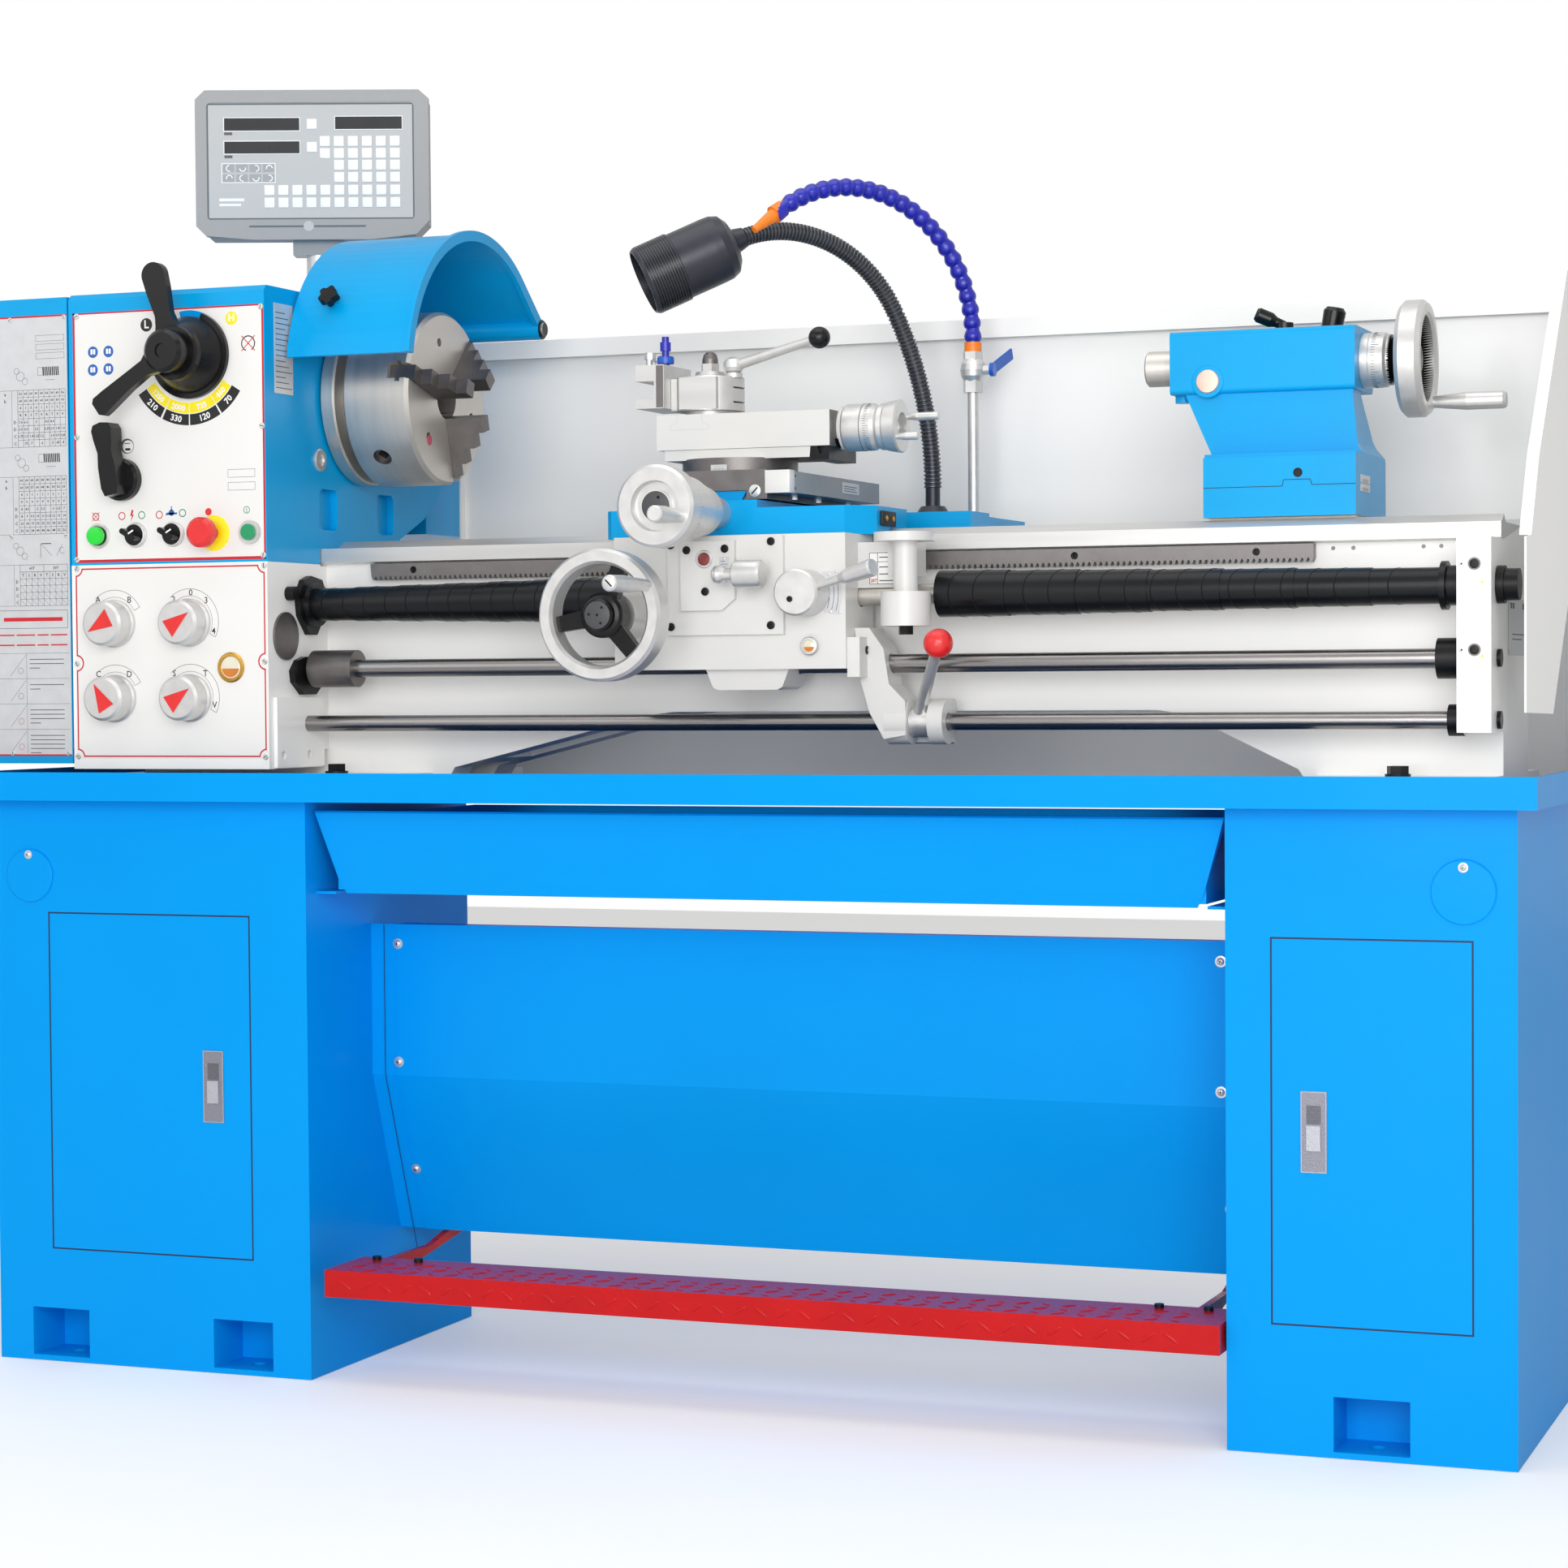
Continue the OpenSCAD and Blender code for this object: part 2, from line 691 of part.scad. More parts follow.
// swinging cover over the end gearing
module end_cover() {
    x1 = head_x0 - 2;
    color("dodgerblue")
        difference() {
            box(cover_x0, x1, head_y0, cover_y1, 686, 1218);
            box(cover_x0 + 3, x1 + 1, head_y0 + 3, cover_y1 - 3, 689, 1215);
        }
    color("gray")
        for (z = [760, 1090]) {
            box(x1 - 30, x1, cover_y1 - 1, cover_y1 + 2, z, z + 60);
            bar_z(5, z, z + 60, x1, cover_y1 + 5);
        }
}

// ---- headstock controls ------------------------------------------------------

// main speed dial: a domed disc with a tapered lever
module speed_lever() {
    y = head_y0;
    color("black")
        difference() {
            union() {
                // base disc, cut away at the top beyond its inner ring
                difference() {
                    bar_y(49, y - 6, y - gap, dial_x, dial_z);
                    translate([dial_x, y - 8, dial_z]) rotate([-90, 0, 0]) linear_extrude(10)
                        difference() {
                            polygon([[0, 0], [26, -70], [-32, -70]]);
                            circle(31);
                        }
                }
                turned_y(dial_x, y - 42, dial_z, [[0, 0], [29, 0], [31, 3], [32, 10],
                    [43, 35], [43, 37], [0, 37]]);
                bar_y(14, y - 2, y + 34, dial_x, dial_z);
                translate([dial_x, y - 31, dial_z]) rotate([90, 0, 0]) rotate(105)
                    paddle(34, 104, 10, 14.5, 10);
            }
            bar_y(8 + run, y - 90, y + 36, dial_x, dial_z);
        }
}

// outline of a flat lever: round at the pivot, a narrow neck and a wider round end
module paddle(hub, l, neck_r, end_r, t) {
    linear_extrude(t) {
        circle(hub * 0.8);
        polygon([[0, hub * 0.7], [hub, neck_r + 2], [hub * 1.3, neck_r], [l * 0.7, end_r - 1],
            [l - end_r, end_r], [l - end_r, -end_r], [l * 0.7, 1 - end_r],
            [hub * 1.3, -neck_r], [hub, -neck_r - 2], [0, -hub * 0.7]]);
        translate([l - end_r, 0]) circle(end_r);
    }
}

// high and low range: a smaller hub in front of the dial, with its own lever
module range_lever() {
    y = head_y0 - 64;
    color("black") {
        turned_y(dial_x, y, dial_z, [[0, 2], [8, 2], [8, 0], [20, 0], [24, 4],
            [24, 22 - gap], [0, 22 - gap]]);
        bar_y(8, y + 20, head_y0 + 42, dial_x, dial_z);
        // elbowed lever with a squared end
        translate([dial_x, y + 18, dial_z]) rotate([90, 0, 0]) rotate(215)
            linear_extrude(12) polygon([[-6, 17], [20, 14], [34, 8], [60, 8], [96, 11],
                [104, 11], [108, 7], [108, -8], [104, -12], [90, -12], [52, -10], [30, -9],
                [18, -14], [-6, -17]]);
    }
}

// feed direction: a pointer knob
module direction_lever() {
    y = head_y0;
    color("black") {
        turned_y(dir_x, y - 12, dir_z, [[0, 0], [21, 0], [24, 3], [24, 12 - gap],
            [0, 12 - gap]]);
        bar_y(8, y - 2, y + 28, dir_x, dir_z);
        // waisted grip across the disc
        translate([dir_x, y - 10, dir_z]) rotate([90, 0, 0]) rotate(99)
            linear_extrude(22) polygon([[-19, 8], [-10, 11], [14, 11], [30, 9], [46, 12],
                [56, 13], [62, 10], [64, 0], [62, -10], [56, -13], [46, -12], [30, -9],
                [14, -11], [-10, -11], [-19, -8]]);
    }
}

module estop_button() {
    color("red")
        turned_y(-583, head_y0 - 32, row_z, [[0, 0], [13, 0], [17, 4], [17, 12], [9, 15],
            [8, 15], [8, 50], [0, 50]]);
}

module start_button() {
    color("limegreen") bar_y(9, head_y0 - 8, head_y0 + 14, -534, row_z);
}

// feed selector knob with a raised pointer
module knob(i, a) {
    p = knob_xz[i];
    color("silver") {
        turned_y(p[0], head_y0 - 30, p[1], [[0, 0], [22, 0], [25, 3], [25, 24], [27, 26],
            [27, 29.5], [0, 29.5]]);
        bar_y(6, head_y0 - 1, head_y0 + 26, p[0], p[1]);
    }
    color("red") translate([p[0], head_y0 - 29.5, p[1]]) rotate([90, 0, 0]) rotate(a)
        linear_extrude(1.5) polygon([[19, 0], [-13, 11], [-13, -11]]);
}

module knob_1() {
    knob(0, 210);
}

module knob_2() {
    knob(1, 35);
}

module knob_3() {
    knob(2, 120);
}

module knob_4() {
    knob(3, 35);
}

// ---- spindle and chuck -----------------------------------------------------------

// hollow spindle with a wide nose flange and its drive gear at the tail
module spindle() {
    color("silver")
        difference() {
            union() {
                bar_x(30, -822, flange_x + 1, ax_y, ax_z);
                turned_x(flange_x, ax_y, ax_z, [[0, 0], [chuck_r - 4, 0], [chuck_r - 2, 2],
                    [chuck_r - 2, 16], [chuck_r - 4, 18], [0, 18]]);
                translate([-800, ax_y, ax_z]) rotate([90, 0, 90]) gear(37, 30, 16);
            }
            bar_x(19, -823, flange_x + 19, ax_y, ax_z);
            for (a = [15 : 120 : 255])
                translate([0, ax_y, ax_z]) rotate([a, 0, 0])
                    bar_z(7, chuck_r - 22, chuck_r, flange_x + 9, 0);
        }
}

// chuck body: radial jaw slots with guide grooves and key sockets
module chuck_body() {
    color("silver")
        difference() {
            union() {
                bar_x(72, flange_x + 18, chuck_x0 + 1, ax_y, ax_z);
                turned_x(chuck_x0, ax_y, ax_z, [[0, 0], [chuck_r - 3, 0], [chuck_r, 3],
                    [chuck_r, chuck_l - 4], [chuck_r - 4, chuck_l], [0, chuck_l]]);
            }
            bar_x(24, flange_x, chuck_x1 + 1, ax_y, ax_z);
            for (i = [0 : 2])
                translate([0, ax_y, ax_z]) rotate([jaw_a0 + 120 * i, 0, 0]) {
                    // slot and guide grooves
                    box(chuck_x1 - 26, chuck_x1 + 1, 0, chuck_r + 1, -9, 9);
                    box(chuck_x1 - 16, chuck_x1 - 10, 0, chuck_r + 1, -13, 13);
                    // square key socket in a round boss, half way between jaws
                    rotate([60, 0, 0]) {
                        bar_y(11, chuck_r - 6, chuck_r + 1, chuck_x0 + 36, 0);
                        translate([chuck_x0 + 36, 0, 0]) rotate([0, 45, 0])
                            box(-5.5, 5.5, chuck_r - 24, chuck_r + 1, -5.5, 5.5);
                        bar_x(5, chuck_x1 - 14, chuck_x1 + 1, 66, 0);
                    }
                }
        }
}

// stepped jaw, with its guide rib in the chuck's groove
module jaw(i) {
    g = gap;
    a = jaw_in;
    color("silver")
        translate([0, ax_y, ax_z]) rotate([jaw_a0 + 120 * i, 0, 0]) {
            translate([0, 0, -9 + g]) linear_extrude(18 - 2 * g)
                polygon([[chuck_x1 - 25.5, a], [chuck_x1 + 46, a], [chuck_x1 + 46, a + 18],
                    [chuck_x1 + 32, a + 18], [chuck_x1 + 32, a + 36], [chuck_x1 + 18, a + 36],
                    [chuck_x1 + 18, a + 54], [chuck_x1 + 5, a + 54], [chuck_x1 + 5, a + 70],
                    [chuck_x1 - 25.5, a + 70]]);
            box(chuck_x1 - 15.7, chuck_x1 - 10.3, a, a + 70, -13 + g, 13 - g);
        }
}

module jaw_1() {
    jaw(0);
}

module jaw_2() {
    jaw(1);
}

module jaw_3() {
    jaw(2);
}

// arched guard over the chuck, hinged on a bar at the rear
module chuck_guard() {
    c = [ax_y, 1115];
    r = 177;
    foot = [guard_py - 2, guard_pz + 12];
    color("dodgerblue")
        difference() {
            union() {
                along_x(guard_x0, guard_x1) guard_arch(c, r, foot, 5);
                along_x(guard_x1 - 6, guard_x1) guard_arch(c, r + 4, foot, 12);
                bar_x(12, guard_x0, guard_x1, guard_py, guard_pz);
            }
            bar_x(8 + run, guard_x0 - 1, guard_x1 + 1, guard_py, guard_pz);
        }
    // star knob on the front
    color("black") {
        translate([-462, ax_y, c[1]]) rotate([-30, 0, 0]) bar_y(5, -r - 10, -r + 3, 0, 0);
        translate([-462, ax_y, c[1]]) rotate([-30, 0, 0]) translate([0, -r - 8, 0])
            rotate([90, 0, 0]) linear_extrude(9) {
                circle(9);
                for (a = [0 : 72 : 288])
                    rotate(a) translate([8, 0]) circle(4);
            }
    }
}

// guard section in [Y, Z]: an arc from the front edge to a flat run down to the hinge
module guard_arch(c, r, foot, t) {
    n = 30;
    a0 = 171;
    a1 = 50;
    out = [for (i = [0 : n]) c + r * [cos(a0 + (a1 - a0) * i / n), sin(a0 + (a1 - a0) * i / n)]];
    in = [for (i = [n : -1 : 0])
        c + (r - t) * [cos(a0 + (a1 - a0) * i / n), sin(a0 + (a1 - a0) * i / n)]];
    polygon(concat(out, [foot, foot - [t * 0.7, t * 0.8]], in));
}

// digital readout box on a swivel
module dro_display() {
    x0 = -148;
    x1 = 142;
    translate([dro_x, dro_y, 0]) rotate([0, 0, dro_turn]) {
        color("gray") {
            along_y(-22, 18) polygon([[x0 + 16, 1332], [x1 - 20, 1332], [x1 - 2, 1350],
                [x1 - 2, 1503], [x1 - 14, 1513], [x0 + 14, 1513], [x0 + 2, 1501], [x0 + 2, 1346]]);
            difference() {
                along_y(-34, -20) polygon([[x0 + 12, 1334], [x0 + 72, 1329], [x1 - 72, 1329],
                    [x1 - 16, 1335], [x1, 1352], [x1, 1504], [x1 - 12, 1514.5], [x0 + 12, 1514.5],
                    [x0, 1503], [x0, 1346]]);
                along_y(-35, -32.5) round_rect(-134, 124, 1353, 1499, 6);
            }
            along_y(18, 26) polygon([[x0 + 30, 1350], [x1 - 30, 1350], [x1 - 30, 1490],
                [x0 + 30, 1490]]);
        }
        color("silver") {
            difference() {
                bar_z(15, 1290, 1318, 0, 0);
                bar_z(11 + run, 1289, 1299 + gap, 0, 0);
            }
            box(-30, 30, -16, 16, 1312, 1334);
        }
    }
}

// ---- rods ------------------------------------------------------------------------

module leadscrew() {
    color("silver") {
        bar_x(lead_r, head_x1 - 38, rod_x1 + 58, rod_y, lead_z);
        bar_x(19, rod_x1 + 40 + gap, rod_x1 + 48, rod_y, lead_z);
        bar_x(16, rod_x1 + 47, rod_x1 + 62, rod_y, lead_z);
    }
}

module feed_rod() {
    color("silver") bar_x(feed_r, head_x1 - 38, rod_x1 + 26, rod_y, feed_z);
    color("dimgray") {
        bar_x(21, head_x1 + 13, head_x1 + 68, rod_y, feed_z);
        bar_x(15, head_x1 + 9.4, head_x1 + 13, rod_y, feed_z);
    }
}

module control_rod() {
    color("silver") bar_x(ctl_r, head_x1 - 38, rod_x1 + 26, rod_y, ctl_z);
}

// telescoping band covers over the leadscrew, one on each side of the apron
module screw_covers() {
    color("black")
        for (s = [[head_x1 + 13, -112, 0], [249, rod_x1 - 9, 1]]) {
            l = s[1] - s[0];
            n = 7;
            difference() {
                union() {
                    for (i = [0 : n - 1]) {
                        k = s[2] == 0 ? i : n - 1 - i;
                        bar_x(18.5 + k, s[0] + l * i / n, s[0] + l * (i + 1) / n + (i < n - 1 ? 1 : 0),
                            rod_y, lead_z);
                    }
                    bar_x(25, s[0], s[0] + 6, rod_y, lead_z);
                    bar_x(25, s[1] - 6, s[1], rod_y, lead_z);
                }
                bar_x(15, s[0] - 1, s[1] + 1, rod_y, lead_z);
            }
        }
}

// ---- carriage --------------------------------------------------------------------

// saddle: an H across the ways, with a dovetail way for the cross slide
module saddle() {
    z0 = saddle_z0;
    color("dodgerblue")
        difference() {
            union() {
                // front wing with a bevelled corner, the bridge and the rear wing
                translate([0, 0, z0]) linear_extrude(saddle_z1 - z0)
                    polygon([[-131, -159], [-124, -166], [147, -166], [174, -139], [174, -40],
                        [82, -40], [82, 20], [228, 20], [228, bed_y1 + 8], [-131, bed_y1 + 8],
                        [-131, 20], [-72, 20], [-72, -40], [-131, -40]]);
                // raised pad under the cross slide
                box(-66, 47, -166, bed_y1 + 8, saddle_z1 - 1, pad_z1);
                box(60, 228, bed_y1, 224, 944, 957);
                bar_y(17, -214, -165, 0, cross_z);
                along_y(-145, bed_y1 + 8) dovetail(20, 27, pad_z1 - 1, pad_z1 + 11);
            }
            // the V on each way, and the cross screw's bore
            for (v = [vee_f, vee_r])
                along_x(-140, 240) polygon([[v - 15, z0 - 1], [v - 15, way_z + gap],
                    [v, way_z + vee_h + 1.5], [v + 15, way_z + gap], [v + 15, z0 - 1]]);
            bar_y(7 + run, -215, -120, 0, cross_z);
        }
}

// apron: gear case under the saddle's front, with its covers, chasing dial and oil sight
module apron() {
    y0 = -200;
    y1 = bed_y0 - 3;
    color("whitesmoke")
        difference() {
            union() {
                box(-106, 160, y0, y1, 787, saddle_z0);
                along_y(-190, -130) polygon([[-4, 788], [4, 768], [10, 765], [78, 765],
                    [84, 768], [92, 788]]);
                box(-41, 92, y0 - 6, y0, 824, 929);
                along_y(y0 - 13, y0 - 6) polygon([[-23, 850], [24, 850], [39, 862],
                    [39, 924], [-23, 924]]);
                bar_y(22, y0 - 12, y0, wheel_x, wheel_z);
                // chasing-dial block beside the leadscrew: plate block, stem, flange and worm
                box(159, 203, -160, -128, 868, 921);
                box(200, 226, -178, -130, 884, 920);
                bar_z(13, 864, 922, 224, -191);
                bar_z(32, 920, 929.5, 222, -189);
                bar_z(26.5, 831, 867, 224, -191);
                translate([224, -191, 822]) cylinder(r = 8, h = 10, $fn = 6);
            }
            bar_x(lead_r + 1.5, -107, 245, rod_y, lead_z);
            bar_x(feed_r + 0.6, -107, 245, rod_y, feed_z);
            bar_y(8 + run, y0 - 13, y0 + 60, wheel_x, wheel_z);
            bar_y(9 + run, y0 - 14, y0 + 20, feedl_x, feedl_z);
            bar_y(9 + run, y0 - 14, y0 + 20, half_x, half_z);
        }
    color("gold") bar_y(8, y0 - 3, y0, 120, 811);
}

// casting below the apron with the two ears of the control lever
module rod_bracket() {
    color("whitesmoke")
        difference() {
            union() {
                box(160 + eps, 174, -196, -122, 778, 820);
                along_y(-172, -128) polygon([[160 + eps, 830], [176, 830], [192, 808],
                    [198, 770], [216, 752], [216, 716], [192, 712], [176, 740], [164, 782]]);
                bar_x(24, 192, 217, rod_y, ctl_z);
                bar_x(24, 240, 257, rod_y, ctl_z);
                along_x(192, 257) polygon([[-128, 706], [-122, 712], [-122, 750], [-128, 754],
                    [-134, 752], [-134, 708]]);
            }
            bar_x(feed_r + 0.6, 158, 230, rod_y, feed_z);
            bar_x(ctl_r + 0.6, 158, 260, rod_y, ctl_z);
            bar_x(18, 217, 240, rod_y, ctl_z);
        }
}

// start, stop and reverse lever with its red ball
module control_lever() {
    a = [222, rod_y, ctl_z];
    b = [270, -222, 812];
    l = norm(b - a);
    color("silver")
        difference() {
            bar_x(16.5, 217 + gap, 240 - gap, rod_y, ctl_z);
            bar_x(ctl_r + run, 210, 250, rod_y, ctl_z);
        }
    // stem and ball, turned in one piece
    color("red") turned_on(a, b - a, concat([[0, 13], [6.5, 13]],
        [for (t = [-67.5 : 11.25 : 90]) [max(0, 15.5 * cos(t)), l + 15.5 * sin(t)]]));
}

// a turned handle with a screw head, standing on a wheel toward the operator
module handle_y(x, y0, y1, z) {
    l = y1 - y0;
    turned_y(x, y0, z, [[0, 0], [7, 0], [8.5, 1.5], [9, l * 0.35], [6.3, l - 8], [6.5, l],
        [0, l]]);
}

module carriage_handwheel() {
    r = apron_wheel_d / 2;
    y = -304;
    color("silver") {
        turned_y(wheel_x, y, wheel_z, [[r - 16, 4], [r - 13, 0], [r - 3, 0], [r, 4],
            [r, 28], [r - 4, 32], [r - 13, 32], [r - 16, 28]]);
        bar_y(8, y + 8, -166, wheel_x, wheel_z);
        bar_y(24, -262, -212 - gap, wheel_x, wheel_z);
        translate([wheel_x, 0, wheel_z]) rotate([0, -29, 0]) {
            handle_y(r - 7.5, -398, y + 4, 0);
        }
    }
    color("black") {
        turned_y(wheel_x, y - 2, wheel_z, [[0, 0], [15, 0], [17, 2], [17, 8], [21, 9], [24, 12],
            [24, 30], [19, 41], [0, 41]]);
        // three dished spokes, thicker at the hub
        for (a = [50 : 120 : 290])
            translate([wheel_x, y + 12, wheel_z]) rotate([0, a, 0]) rotate([-90, 0, 0])
                linear_extrude(12) polygon([[0, 10.5], [r - 12, 8], [r - 12, -8], [0, -10.5]]);
    }
}

// cross-feed handwheel: a recessed disc in front of its graduated sleeve
module cross_handwheel() {
    r = cross_wheel_d / 2;
    y = -336;
    color("silver") {
        turned_y(0, y, cross_z, [[0, 4], [17, 4], [17, 9], [25, 9], [26.5, 0], [r - 3, 0],
            [r, 3], [r, 24], [r - 6, 29], [35, 30], [35, 76], [31, 80], [31, 96], [27, 98],
            [27, 122 - gap], [0, 122 - gap]]);
        bar_y(7, -216, -130, 0, cross_z);
        translate([0, 0, cross_z]) rotate([0, 22, 0]) handle_y(r - 12, -404, y + 4, 0);
    }
}

module halfnut_lever() {
    a = [half_x + 14, -228, half_z + 4];
    b = [half_x + 88, -246, half_z + 24];
    c = a + 0.48 * (b - a);
    color("silver") {
        turned_y(half_x, -240, half_z, [[0, 0], [22.5, 0], [24.5, 2], [24.5, 40 - gap],
            [0, 40 - gap]]);
        bar_y(9, -202, -184, half_x, half_z);
        // thin stem and a grip that widens to its flat end
        rod(a, c + 0.06 * (b - a), 4.4, 4.9);
        turned_on(c, b - a, [[0, 0], [5.5, 0], [8, 9], [9.5, 40], [9, 43], [0, 43]]);
    }
}

module feed_lever() {
    z = feedl_z;
    color("silver") {
        bar_y(13.5, -232, -213 - gap, feedl_x + 2, z);
        bar_y(9, -228, -184, feedl_x, z);
        // cross barrel, and the knob that stands out of its left end
        turned_x(feedl_x - 12, -240, z, [[0, 0], [13, 0], [15, 2], [15, 30], [13.5, 32], [0, 32]]);
        turned_x(feedl_x - 37, -240, z, [[0, 0], [6, 0.6], [9, 3], [10, 7], [9.4, 11],
            [6.4, 15], [6, 26], [0, 26]]);
    }
}

// one arc of a flexible neck, as short straight lengths with a ball at each bend
module neck(cx, cz, r, a0, a1, n) {
    at = [for (i = [0 : n]) let (a = a0 + (a1 - a0) * i / n) [cx + r * cos(a), 0, cz + r * sin(a)]];
    for (i = [0 : n - 1])
        rod(at[i], at[i + 1] + 0.12 * (at[i + 1] - at[i]), 9.4, 8.2);
}

// halogen work lamp on a flexible neck, shown in its set position
module work_lamp() {
    a = atan2(-195, -163);
    lean = 28.4;
    r1 = 420;
    r2 = 160;
    head = [-37.4, -6.7, 1269.9];
    dir = [-90, -48, -46] / norm([-90, -48, -46]);
    color("black") {
        bar_z(34, 957, 962, lamp_x, rear_y);
        translate([lamp_x, rear_y, 961]) cylinder(r1 = 24, r2 = 14, h = 15);
        translate([lamp_x, rear_y, 1000]) rotate([0, 0, a]) {
            translate([0, 0, -26]) cylinder(r = 8.6, h = 29);
            neck(r1, 0, r1, 180, 180 - lean, 12);
            neck(r1 - (r1 - r2) * cos(lean), (r1 - r2) * sin(lean), r2, 180 - lean, 66, 14);
        }
        turned_on(head, dir, [[0, -10], [11, -10], [14, 2], [25, 5], [34, 11], [37.5, 20],
            [38, 30], [38, 72], [39.5, 73], [39.5, 112], [37, 116], [35, 116], [35, 104],
            [0, 104]]);
    }
    color("silver") turned_on(head, dir, [[0, 103], [12, 103], [14, 109], [0, 110]]);
}

// coolant pipe, ball valve and jointed hose with its nozzle
module coolant_line() {
    a = -127.5;
    r = 163;
    z0 = 1168;
    sweep = 125;
    pitch = r * sweep * PI / 180 / (hose_links - 1);
    color("silver") {
        bar_z(13, 957, 964, pipe_x, rear_y);
        bar_z(6.6, 962, 1112, pipe_x, rear_y);
        translate([pipe_x, rear_y, 1106]) cylinder(r = 12, h = 14, $fn = 6);
        translate([pipe_x, rear_y, 1118]) rotate_extrude()
            polygon([[0, 0], [10, 0], [14, 7], [15, 14], [14, 21], [10, 28], [0, 28]]);
        translate([pipe_x, rear_y, 1144]) cylinder(r = 12, h = 9, $fn = 6);
        bar_x(6, pipe_x + 8, pipe_x + 21, rear_y, 1132);
    }
    color("orange") bar_z(10, 1153, 1164, pipe_x, rear_y);
    color("blue") {
        bar_z(8.2, 1160, z0 + 4, pipe_x, rear_y);
        translate([pipe_x, rear_y, z0]) rotate([0, 0, a])
            for (i = [0 : hose_links - 2]) {
                t = sweep * i / (hose_links - 1);
                translate([r - r * cos(t), 0, r * sin(t)])
                    rotate([0, t, 0]) cylinder(r1 = 9.6, r2 = 7, h = pitch + 1.2);
            }
    }
    color("orange")
        translate([pipe_x, rear_y, z0]) rotate([0, 0, a])
            translate([r - r * cos(sweep), 0, r * sin(sweep)])
                rotate([0, sweep, 0]) {
                    cylinder(r1 = 9.5, r2 = 10.5, h = 14);
                    translate([0, 0, 13]) cylinder(r1 = 8, r2 = 4, h = 33);
                }
}

module valve_handle() {
    x = pipe_x + 21 + gap;
    color("blue") {
        bar_x(8, x, x + 5, rear_y, 1132);
        translate([x + 2, rear_y, 1132]) rotate([-62, 0, 0]) rotate([0, 14, 0])
            translate([0, 0, 0]) linear_extrude(46) round_rect(-1.5, 1.5, -7, 7, 1.4);
    }
}

// cross slide with its dovetail groove, gib screw block and the readout's scale housing
module cross_slide() {
    z0 = pad_z1 + 1.5;
    color("dimgray")
        difference() {
            union() {
                box(-52, 52, -148, 150, z0, slide_z1);
                bar_z(63, slide_z1 - 12, slide_z1, pivot_x, pivot_y);
            }
            along_y(-149, 151) dovetail(20 + gap + 1, 27 + gap + 1, z0 - 1, pad_z1 + 11 + gap);
            // the way's front end shows in a wider notch
            box(-53, 28, -149, -142, z0 - 1, pad_z1 + 11 + gap);
            bar_y(7, -149, -146, 38, 980);
        }
    color("silver") {
        bar_y(6.8, -148.4, -145, 38, 980);
        box(56, 82, -160, 130, 977, 1000);
        for (y = [-140, 90])
            box(51, 57, y, y + 40, 980, 996);
    }
}

// swivelling base of the compound slide
module compound_base() {
    y0 = pivot_y - 43;
    y1 = pivot_y + 43;
    color("whitesmoke") {
        bar_z(64, slide_z1 + gap, 1018, pivot_x, pivot_y);
        box(-82, 89, y0, y1, 1017, base_z1);
        along_x(-82, 110.6) translate([pivot_y, 0])
            dovetail(22, 29, base_z1 - 1, base_z1 + 9);
    }
    color("black")
        difference() {
            box(88, 110.6, y0, y1, 1014, base_z1 - 0.4);
            translate([97, y0 - 1, 1014]) rotate([-90, 0, 0]) translate([0, -16, 0])
                linear_extrude(6) polygon([[0, 2], [7, 2], [3.5, 11]]);
        }
}

module top_slide() {
    z0 = base_z1 + gap;
    color("whitesmoke")
        difference() {
            union() {
                box(-91, 112, pivot_y - 45, pivot_y + 45, z0, top_z1);
                bar_x(24, 111, 116, pivot_y, crank_z);
            }
            along_x(-92, 113) translate([pivot_y, 0])
                dovetail(22 + gap + 1, 29 + gap + 1, z0 - 1, base_z1 + 9 + gap);
            bar_x(7 + run, 90, 117, pivot_y, crank_z);
        }
}

// graduated dial and two-grip crank on the compound screw
module top_slide_handle() {
    x = 116 + gap;
    color("silver") {
        bar_x(7, 106, x + 30, pivot_y, crank_z);
        turned_x(x, pivot_y, crank_z, [[0, 0], [24, 0], [26, 2], [26, 22], [25.4, 22.6],
            [25.4, 33], [23, 37], [25.5, 41], [25.5, 46], [26.5, 48], [29.2, 62], [27.5, 63.5],
            [15, 63.5], [15, 54], [6, 54], [6, 58], [0, 58]]);
        // two straight handles of unequal length
        for (h = [[31, 38], [214, 27]])
            translate([x + 60, pivot_y, crank_z]) rotate([h[0], 0, 0])
                turned_x(0, 22, 0, [[0, 0], [3, 0], [3.2, 5], [4.4, 14], [4.4, h[1]], [3.6, h[1] + 1],
                    [0, h[1] + 1]]);
    }
}

// quick-change tool post: round body with two dovetailed faces
module tool_post() {
    x = post_x;
    color("silver")
        difference() {
            union() {
                bar_z(28, top_z1, 1074, x, pivot_y);
                bar_z(38, 1073, 1110, x, pivot_y);
                box(x - 38, x + 20, pivot_y - 22, pivot_y + 22, 1074, 1109);
                box(x - 22, x + 22, pivot_y - 38, pivot_y, 1074, 1109);
                translate([x, pivot_y, 1109]) rotate_extrude()
                    polygon([[0, 0], [24, 0], [24, 3], [17, 4], [16, 8], [0, 8]]);
                translate([x, pivot_y, 1116]) cylinder(r = 10.5, h = 10, $fn = 6);
                translate([x, pivot_y, 1125]) rotate_extrude()
                    polygon([[0, 0], [8.8, 0], [8.8, 6], [7.4, 11], [4.4, 14], [0, 15]]);
                bar_z(10, 1109, 1114, -14, pivot_y - 8);
            }
            // seams of the locking cam
            for (z = [1082, 1098])
                translate([x + 30, pivot_y, z]) rotate([0, 0, 20]) box(-2, 14, -60, 60, -1, 1);
        }
}

